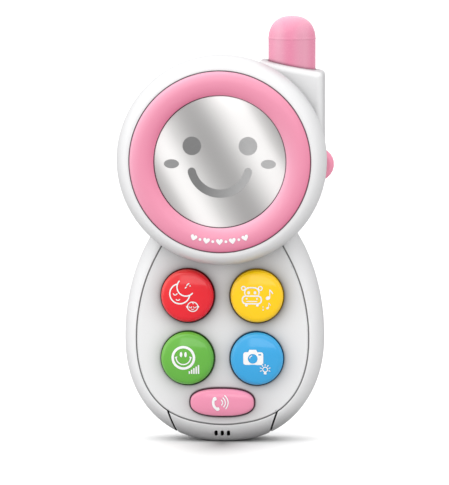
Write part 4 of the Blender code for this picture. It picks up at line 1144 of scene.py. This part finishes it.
def make_rear():
    rear = rear_blank()
    # tab at the foot
    join(rear, block((-3.0, 3.0), (-1.4, 2.0), (-1.0, 1.7)))
    cut(rear, block(WIDE, (-5, 25), (-5, 0)))
    # frame and box behind the door, and the screw posts
    join(rear, block((-16.0, 16.0), (9.6, 12.6), (6.4, 71.6)))
    join(rear, block((-13.6, 13.6), (0.5, 10.4), (11.6, 65.6)))
    for z in DOOR_SCREWS:
        join(rear, rod(0.0, z, 2.9, 3.0, 10.5))
    for x, z in CASE_SCREWS:
        join(rear, rod(x, z, 4.2, 1.0, 12.8, steps=36))
    # opening for the door, and the hollow of the box
    cut(rear, back_hole(-DOOR_HALF, DOOR_HALF, DOOR_Z0, DOOR_Z1, 0.5, deep=12.0, lip=0.3))
    cut(rear, block((-12.2, 12.2), (1.4, 13.0), (13.0, 64.2)))
    for z in DOOR_SCREWS:
        cut(rear, rod(0.0, z, 1.3, 4.5, 13.0))
    cut(rear, antenna_hole())
    cut(rear, wheel_slot((-2.0, 3.0)))
    for x, z in CASE_SCREWS:
        mouth_y = 13.4 if abs(x) < 20 or z < 30 else 12.9
        cut(rear, rod(x, z, 3.0, 4.4, mouth_y, steps=48, lip=0.25))
        cut(rear, rod(x, z, 1.7, 0.0, 6.0))
    # seven level slots over the speaker, inside a circle
    pitch, circle_r, slot_half = 4.0, 14.5, 0.85
    for k in range(-3, 4):
        rise = pitch * k
        half = math.sqrt(circle_r**2 - rise**2) - 0.8
        z = SPEAKER_Z + rise
        end = half + slot_half
        cut(rear, back_hole(-end, end, z - slot_half, z + slot_half, 0.84, deep=10.5))
    # rectangular recess above the door, with a smaller opening through its floor
    cut(rear, back_hole(-4.6, 4.6, 76.6, 81.6, 0.5, deep=13.0))
    cut(rear, block((-3.7, 3.7), (10.0, 14.0), (77.5, 80.7)))
    weighted(rear)
    dress(rear, "case", "white_abs", "rear_shell")


def make_door():
    x = (-DOOR_HALF + DOOR_GAP, DOOR_HALF - DOOR_GAP)
    z = (DOOR_Z0 + DOOR_GAP, DOOR_Z1 - DOOR_GAP)
    door = block(x, (12.25, 13.9), z, "battery_door_skin", bevel=0.28)
    for z in DOOR_SCREWS:
        cut(door, rod(0.0, z, 1.35, 10, 15))
        cut(door, rod(0.0, z, 2.9, 12.95, 13.9, steps=48, lip=0.2))
    # four level finger grooves
    for k in range(4):
        z = 60.2 - 2.6 * k
        cut(door, block((-5.0, 5.0), (13.4, 15.0), (z - 0.5, z + 0.5), bevel=0.3, segments=2))
    weighted(door)
    dress(door, "door", "white_abs", "battery_door")


make_rear()
make_door()

# ---------------------------------------------------------------- screws
# (kind, how many, body, head height, head radius, shaft radius)
SCREWS = (
    ("case", 6, "case", 1.8, 2.6, 1.15),
    ("door", 2, "door", 0.8, 2.5, 1.0),
    ("base", 4, "cover", 1.5, 2.3, 0.9),
)


def cross_screw(node, body, height, head_r, shaft_r):
    """A pan-head screw with a cross recess, its head towards the back."""
    low, high = box_mm(node)
    x, z = (low[0] + high[0]) / 2, (low[2] + high[2]) / 2
    tip_y, head_y = low[1], high[1]
    neck_y = head_y - height
    profile = [(0, head_y)]
    for a in np.radians([20, 40, 60, 78]):
        y = head_y - height * 0.55 * (1 - math.cos(a))
        profile.append((head_r * math.sin(a) * 0.98, y))
    profile += [(head_r, head_y - height * 0.6), (head_r, neck_y), (shaft_r, neck_y)]
    length = abs(neck_y - tip_y) - 0.9
    turns = max(3, int(length / 0.9))
    step = length / turns
    for k in range(turns):
        y = neck_y - length * k / turns
        profile += [(shaft_r, y - step * 0.25), (shaft_r * 0.82, y - step * 0.5)]
        profile.append((shaft_r, y - step * 0.75))
    profile += [(shaft_r * 0.8, tip_y + 0.7), (0, tip_y)]
    screw = turned(profile, (x, 0, z), node + "_skin", 28)
    long, narrow = head_r * 0.55, 0.32
    for half_x, half_z in ((long, narrow), (narrow, long)):
        y = (head_y - height * 0.62, head_y + 0.5)
        cut(screw, block((x - half_x, x + half_x), y, (z - half_z, z + half_z)))
    dress(screw, body, "zinc_steel", node)


for kind, count, body, *sizes in SCREWS:
    for i in range(1, count + 1):
        cross_screw(f"{kind}_screw_{i}", body, *sizes)


# ---------------------------------------------------------------- printed marks
def inside(outline, points):
    """Which points lie inside an outline."""
    corners = np.array(outline, float)
    hit = np.zeros(len(points), bool)
    for (x0, z0), (x1, z1) in zip(corners, np.roll(corners, -1, axis=0)):
        if z0 == z1:
            continue
        crosses = (points[:, 1] >= min(z0, z1)) & (points[:, 1] < max(z0, z1))
        hit ^= crosses & (points[:, 0] < x0 + (points[:, 1] - z0) * (x1 - x0) / (z1 - z0))
    return hit


def decal(name, layers, height, look, body, slot, thick=0.07, pitch=0.55, sink=0.03):
    """A thin printed layer on the surface y = height(x, z).

    layers is a list of (outline, adds ink or removes it); the last one over a spot decides.
    pitch is the spacing of the points that let the layer follow the surface.
    """
    points, borders = [], []
    for outline, _ in layers:
        first, count = len(points), len(outline)
        points += [Vector((float(x), float(z))) for x, z in outline]
        borders += [(first + i, first + (i + 1) % count) for i in range(count)]
    flat = np.array([tuple(point) for point in points])
    low, high = flat.min(0), flat.max(0)
    for x in np.arange(low[0] + pitch / 3, high[0], pitch):
        for z in np.arange(low[1] + pitch / 3, high[1], pitch):
            points.append(Vector((x, z)))
    points, _, triangles, _, _, _ = delaunay_2d_cdt(points, borders, [], 0, 1e-4)
    flat = np.array([tuple(point) for point in points])
    mids = flat[np.array([list(corners) for corners in triangles])].mean(1)
    inked = np.zeros(len(mids), bool)
    for outline, adds in layers:
        inked[inside(outline, mids)] = adds
    used = [tuple(corners) for corners, on in zip(triangles, inked) if on]
    bm = bmesh.new()
    front, back = {}, {}
    for corners in used:
        for i in corners:
            if i not in front:
                x, z = points[i]
                y = float(height(x, z))
                front[i] = bm.verts.new((x, y - thick, z))
                back[i] = bm.verts.new((x, y + sink, z))
    edges = {}
    for corners in used:
        bm.faces.new([front[i] for i in corners])
        bm.faces.new([back[i] for i in reversed(corners)])
        edges.update(dict.fromkeys(zip(corners, corners[1:] + corners[:1])))
    for a, b in edges:
        if (b, a) not in edges:
            bm.faces.new((front[b], front[a], back[a], back[b]))
    dress(to_object(bm, name, 50.0), body, slot, look=look)


def disk(x, z, a, b=None, n=28, tilt=0.0):
    """An ellipse with half axes a and b, tilted in degrees."""
    b = a if b is None else b
    c, s = math.cos(math.radians(tilt)), math.sin(math.radians(tilt))
    points = []
    for t in np.arange(n) * 2 * math.pi / n:
        u, v = a * math.cos(t), b * math.sin(t)
        points.append((x + u * c - v * s, z + u * s + v * c))
    return points


def stroke(points, width):
    """A line with round ends, as one outline."""
    line = np.array(points, float)
    way = np.diff(line, axis=0)
    way /= np.hypot(*way.T)[:, None]
    tangent = np.vstack([way[:1], way[:-1] + way[1:], way[-1:]])
    tangent /= np.hypot(*tangent.T)[:, None]
    normal = np.c_[-tangent[:, 1], tangent[:, 0]]
    half = width / 2

    def end(point, start):
        angles = math.atan2(start[1], start[0]) - np.radians([30, 60, 90, 120, 150])
        return [(point[0] + half * math.cos(a), point[1] + half * math.sin(a)) for a in angles]

    there = [tuple(point) for point in line + normal * half]
    back = [tuple(point) for point in (line - normal * half)[::-1]]
    return there + end(line[-1], normal[-1]) + back + end(line[0], -normal[0])


def arc(x, z, r, start, stop, n=24, rz=None):
    rz = r if rz is None else rz
    angles = np.radians(np.linspace(start, stop, n))
    return [(x + r * math.cos(a), z + rz * math.sin(a)) for a in angles]


def ink(*outlines):
    return [(outline, True) for outline in outlines]


def clear(*outlines):
    return [(outline, False) for outline in outlines]


def hoop(x, z, r, width, n=40, rz=None):
    rz, half = r if rz is None else rz, width / 2
    return ink(disk(x, z, r + half, rz + half, n)) + clear(disk(x, z, r - half, rz - half, n))


def placed(layers, x, z, scale=1.0, tilt=0.0):
    """Layers turned by tilt degrees and scaled about the origin, then moved to (x, z)."""
    c, s = math.cos(math.radians(tilt)), math.sin(math.radians(tilt))
    return [
        ([((a * c - b * s) * scale + x, (a * s + b * c) * scale + z) for a, b in outline], adds)
        for outline, adds in layers
    ]


def red_icon():
    """A crescent moon with a sleeping face, marks above it, and a small round face."""
    moon = hoop(0, 0, 3.8, 0.5, 56) + clear(disk(2.35, 2.55, 3.4, n=48)) + ink(
        stroke(arc(2.35, 2.55, 3.4, 139, 316, 36), 0.5),
        stroke(arc(-1.75, 0.25, 0.75, 200, 345, 10), 0.36),
        stroke(arc(-0.7, -1.7, 0.8, 215, 330, 10), 0.34),
    )
    marks = ink(
        stroke([(-0.6, 3.1), (-0.15, 3.5)], 0.4),
        stroke([(0.0, 4.15), (0.75, 4.8)], 0.42),
        disk(1.25, 3.9, 0.24),
    )
    face = hoop(0, 0, 1.95, 0.36, 40, 1.8) + ink(
        disk(-2.05, 0.0, 0.42),
        disk(2.05, 0.0, 0.42),
        stroke(arc(-0.85, 0.1, 0.5, 190, 350, 9), 0.26),
        stroke(arc(0.85, 0.1, 0.5, 190, 350, 9), 0.26),
        stroke(arc(0, -0.65, 0.45, 200, 340, 8), 0.24),
        stroke([(-0.1, 1.75), (0.25, 1.15)], 0.3),
    )
    return placed(moon, -2.7, 0.9) + marks + placed(face, 2.2, -4.0)


def yellow_icon():
    """A figure with round ears over a wide body, two notes and two dots."""
    figure = hoop(-3.2, 3.0, 0.72, 0.42, 24) + hoop(3.2, 3.0, 0.72, 0.42, 24)
    figure += ink(rounded_rect(-3.0, 3.0, -0.4, 3.5, 2.1))
    figure += clear(rounded_rect(-2.5, 2.5, -0.4, 3.0, 1.65))
    figure += ink(rounded_rect(-3.85, 3.85, -3.1, 0.35, 1.5))
    figure += clear(rounded_rect(-3.35, 3.35, -2.6, -0.15, 1.1))
    figure += ink(
        disk(-1.2, 1.35, 0.5, 0.62),
        disk(1.2, 1.35, 0.5, 0.62),
        disk(-1.95, -0.95, 0.34),
        disk(1.95, -0.95, 0.34),
        stroke([(-1.9, -1.95), (1.9, -1.95)], 0.36),
        rounded_rect(-2.6, -1.6, -3.9, -2.9, 0.4),
        rounded_rect(1.6, 2.6, -3.9, -2.9, 0.4),
    )
    note = ink(
        disk(0, 0, 0.85, 0.68, 24, 20),
        stroke([(0.68, 0.15), (0.68, 3.1)], 0.32),
        stroke([(0.7, 3.05), (1.3, 2.4), (1.75, 1.75)], 0.42),
    )
    notes = placed(note, 4.35, -0.5) + placed(note, 4.2, -4.3, scale=0.62)
    dots = ink(disk(2.5, -3.9, 0.24), disk(2.5, -5.0, 0.28))
    return placed(figure, -1.75, 0.15) + notes + dots


def green_icon():
    """A smiling face, and five bars that grow to the right."""
    face = hoop(0, 0, 4.05, 0.95, 56) + ink(
        disk(-0.85, 1.25, 0.5, 1.0, 24),
        disk(0.85, 1.25, 0.5, 1.0, 24),
        stroke(arc(0, 0.15, 2.75, 186, 354, 26, 2.7), 0.46),
        stroke([(-3.05, 0.05), (-2.45, 0.32)], 0.4),
        stroke([(3.05, 0.05), (2.45, 0.32)], 0.4),
    )
    bars = []
    for k in range(5):
        x = 0.95 + 0.86 * k
        bars += ink(rounded_rect(x - 0.27, x + 0.27, -5.75, -4.75 + 0.6 * k, 0.1, 3))
    return placed(face, -1.35, 0.35) + bars


def blue_icon():
    """A camera, and a bulb with rays."""
    camera = ink(
        rounded_rect(-3.8, 3.8, -2.5, 2.35, 0.95),
        [(-2.0, 2.2), (-1.5, 3.25), (1.1, 3.25), (1.6, 2.2)],
    )
    camera += clear(disk(-0.2, -0.15, 1.85, 1.85, 40))
    camera += ink(stroke(arc(-0.2, -0.15, 1.15, 105, 170, 10), 0.3))
    camera += clear(rounded_rect(1.9, 3.0, 1.1, 1.65, 0.22, 4))
    bulb = hoop(0, 0.15, 0.9, 0.34, 30) + ink(rounded_rect(-0.5, 0.5, -1.75, -0.85, 0.2, 4))
    for a in np.radians([-20, 18, 54, 90, 126, 162, 200]):
        c, s = math.cos(a), math.sin(a)
        bulb += ink(stroke([(r * c, 0.15 + r * s) for r in (1.45, 1.95)], 0.3))
    return placed(camera, -1.2, 0.35) + placed(bulb, 3.3, -4.0)


def call_icon():
    """A telephone receiver with three sound waves."""
    receiver = ink(
        stroke(arc(1.6, 0.0, 3.3, 128, 232, 22), 1.15),
        rounded_rect(-1.25, 0.35, 1.55, 3.1, 0.45),
        rounded_rect(-1.25, 0.35, -3.1, -1.55, 0.45),
    )
    waves = ink(*(stroke(arc(-1.0, 0.1, r, -42, 52, 14), 0.42) for r in (1.3, 2.35, 3.4)))
    return placed(receiver, -1.75, -0.3, scale=0.86, tilt=16) + waves


for key, icon in zip(KEYS, (red_icon, yellow_icon, green_icon, blue_icon)):
    key_x, _, key_z = KEY_AT[key]
    decal(
        f"{key}_key_print", placed(icon(), key_x, key_z),
        lambda x, z: key_height(math.hypot(x - key_x, z - key_z)),
        INK, f"{key}_key", f"{key}_abs",
    )
decal(
    "call_key_print", placed(call_icon(), 0.0, CALL_Z), lambda x, z: call_height(x, z - CALL_Z),
    INK, "call_key", "pink_abs", pitch=0.45,
)

# the face printed on the mirror
GREY = print_ink("grey_ink", 0.19, 0.43, x0=-7.0, x1=11.0)
CHEEK = print_ink("cheek_ink", 0.29, 0.45, x0=-10.0, x1=10.0)
for name, outline, look in (
    ("left_eye", disk(-10.6, DISC_Z + 5.95, 3.5, n=56), GREY),
    ("right_eye", disk(10.6, DISC_Z + 5.95, 3.5, n=56), GREY),
    ("left_cheek", disk(-18.3, DISC_Z - 0.85, 2.85, 1.7, 44), CHEEK),
    ("right_cheek", disk(18.3, DISC_Z - 0.85, 2.85, 1.7, 44), CHEEK),
    ("smile", stroke(arc(0, DISC_Z - 1.1, 10.95, 194, 346, 48), 3.1), GREY),
):
    decal(
        f"{name}_print", ink(outline), lambda x, z: MIRROR_Y, look, "cover", "mirror_film",
        thick=0.05, pitch=0.9,
    )

# hearts and dots by turns along the foot of the ring
HEART = (  # (x, z)
    (0.0, -1.25), (0.75, -0.6), (1.3, 0.1), (1.35, 0.65), (1.0, 1.1), (0.5, 1.12), (0.12, 0.85),
    (0.0, 0.55), (-0.12, 0.85), (-0.5, 1.12), (-1.0, 1.1), (-1.35, 0.65), (-1.3, 0.1),
    (-0.75, -0.6),
)
MARK_PITCH = 4.7  # degrees
marks = []
for k in range(-4, 5):
    turn = MARK_PITCH * k
    a = math.radians(-90 + turn)
    x, z = BEZEL_CREST_R * math.cos(a), DISC_Z + BEZEL_CREST_R * math.sin(a)
    shape, scale = (HEART, 0.95) if k % 2 == 0 else (disk(0, 0, 0.55, n=20), 1.0)
    marks += placed(ink(shape), x, z, scale, turn)
decal(
    "ring_marks_print", marks, lambda x, z: bezel_height(math.hypot(x, z - DISC_Z)),
    INK, "cover", "pink_abs", pitch=0.5,
)

# ---------------------------------------------------------------- floor
FLOOR_SEEN, FLOOR_SENT = 0.96, 0.52  # brightness shown to the camera, and sent to the object


def floor_paper():
    made, g = new_material("floor_paper")
    place = g.add("TexCoord")["Object"]
    seen = g.math("MULTIPLY_ADD", g.noise(place, scale=30.0), 0.01, FLOOR_SEEN)
    # soft painted contact shadow round the foot, shown to the camera only
    at = g.split(place)
    across = g.math("DIVIDE", at["X"], 0.012)
    along = g.math("DIVIDE", g.math("ADD", at["Y"], 0.014), 0.036)
    near = g.math("EXPONENT", g.math("MULTIPLY", g.length(across, along), -1.0))
    seen = g.math("MULTIPLY", seen, g.math("MULTIPLY_ADD", near, -0.66, 1.0))
    to_camera = g.add("LightPath")["Is Camera Ray"]
    more = g.math("SUBTRACT", seen, FLOOR_SENT)
    tone = g.math("MULTIPLY_ADD", to_camera, more, FLOOR_SENT)
    colour = g.add("CombineColor", {0: tone, 1: tone, 2: tone})["Color"]
    g.surface(Base_Color=colour, Roughness=1.0, Specular_IOR_Level=0.0)
    return made


paper = floor_paper()
bpy.ops.mesh.primitive_plane_add(size=60.0, location=(0, 0, -0.0002))
floor = bpy.context.active_object
floor.name = "floor"
floor.data.materials.append(paper)

# ---------------------------------------------------------------- world and lights
PANEL_STRENGTH = 2.3


def window(g, value, low, high, soft):
    """1 between low and high, with edges that rise and fall over soft inside them."""
    up = g.clamp(g.math("DIVIDE", g.math("SUBTRACT", value, low), soft))
    down = g.clamp(g.math("DIVIDE", g.math("SUBTRACT", high, value), soft))
    return g.math("MULTIPLY", up, down)


def make_world():
    scene = bpy.context.scene
    if scene.world is None:
        scene.world = bpy.data.worlds.new("studio")
    scene.world.use_nodes = True
    tree = scene.world.node_tree
    tree.nodes.clear()
    g = Graph(tree)
    path = g.add("LightPath")
    axes = g.split(g.add("TexCoord")["Generated"])
    # brighter from above and from the left
    glow = g.math("MULTIPLY_ADD", axes["Z"], 1.15, 1.0)
    glow = g.math("MULTIPLY_ADD", axes["X"], -0.34, glow)
    glow = g.math("MAXIMUM", glow, 0.03)
    # a long panel in front, above the camera, that shows only in reflections
    high = window(g, axes["Z"], low=0.12, high=0.34, soft=0.03)
    panel = g.math("MULTIPLY", high, window(g, axes["X"], low=-0.24, high=0.50, soft=0.05))
    panel = g.math("MULTIPLY", panel, g.math("LESS_THAN", axes["Y"], 0.0))
    panel = g.math("MULTIPLY", panel, path["Is Glossy Ray"])
    strength = g.math("MULTIPLY_ADD", panel, PANEL_STRENGTH, glow)
    lit = g.add("Background", {"Strength": strength})["Background"]
    seen = g.add("Background", {"Color": (1, 1, 1, 1), "Strength": 1.0})["Background"]
    both = g.add("MixShader", {"Fac": path["Is Camera Ray"], 1: lit, 2: seen})["Shader"]
    g.add("OutputWorld", {"Surface": both})


make_world()


def aim(obj, at, target):
    obj.location = at
    obj.rotation_euler = (Vector(target) - Vector(at)).to_track_quat("-Z", "Y").to_euler()
    bpy.context.scene.collection.objects.link(obj)


# (name, place, width, height, power), in metres and watts
LIGHTS = (
    ("key", (-0.55, -0.75, 0.95), 0.7, 0.5, 0.9),
    ("left_strip", (-0.75, -0.35, 0.25), 0.18, 0.7, 0.6),
    ("right_strip", (0.75, -0.25, 0.25), 0.18, 0.7, 0.5),
)
for name, at, width, height, power in LIGHTS:
    lamp = bpy.data.lights.new(name, "AREA")
    lamp.shape = "RECTANGLE"
    lamp.size, lamp.size_y, lamp.energy = width, height, power
    aim(bpy.data.objects.new(name, lamp), at, (0, 0, 0.085))

# ---------------------------------------------------------------- camera
AZIMUTH, ELEVATION, DISTANCE = math.radians(4.3), math.radians(5.2), 3.0
VIEW_WIDTH = 170.62 * MM  # seen at the target
SENSOR_WIDTH = 36.0
target = Vector((-0.00015, 0, 0.0749))
direction = Vector((
    math.sin(AZIMUTH) * math.cos(ELEVATION),
    -math.cos(AZIMUTH) * math.cos(ELEVATION),
    math.sin(ELEVATION),
))
lens = bpy.data.cameras.new("camera")
lens.sensor_width = SENSOR_WIDTH
lens.sensor_fit = "HORIZONTAL"
lens.lens = SENSOR_WIDTH * DISTANCE / VIEW_WIDTH
lens.clip_end = 100.0
camera = bpy.data.objects.new("camera", lens)
aim(camera, target + DISTANCE * direction, target)
bpy.context.scene.camera = camera
bpy.context.scene.view_settings.view_transform = "Standard"
bpy.context.scene.view_settings.look = "None"
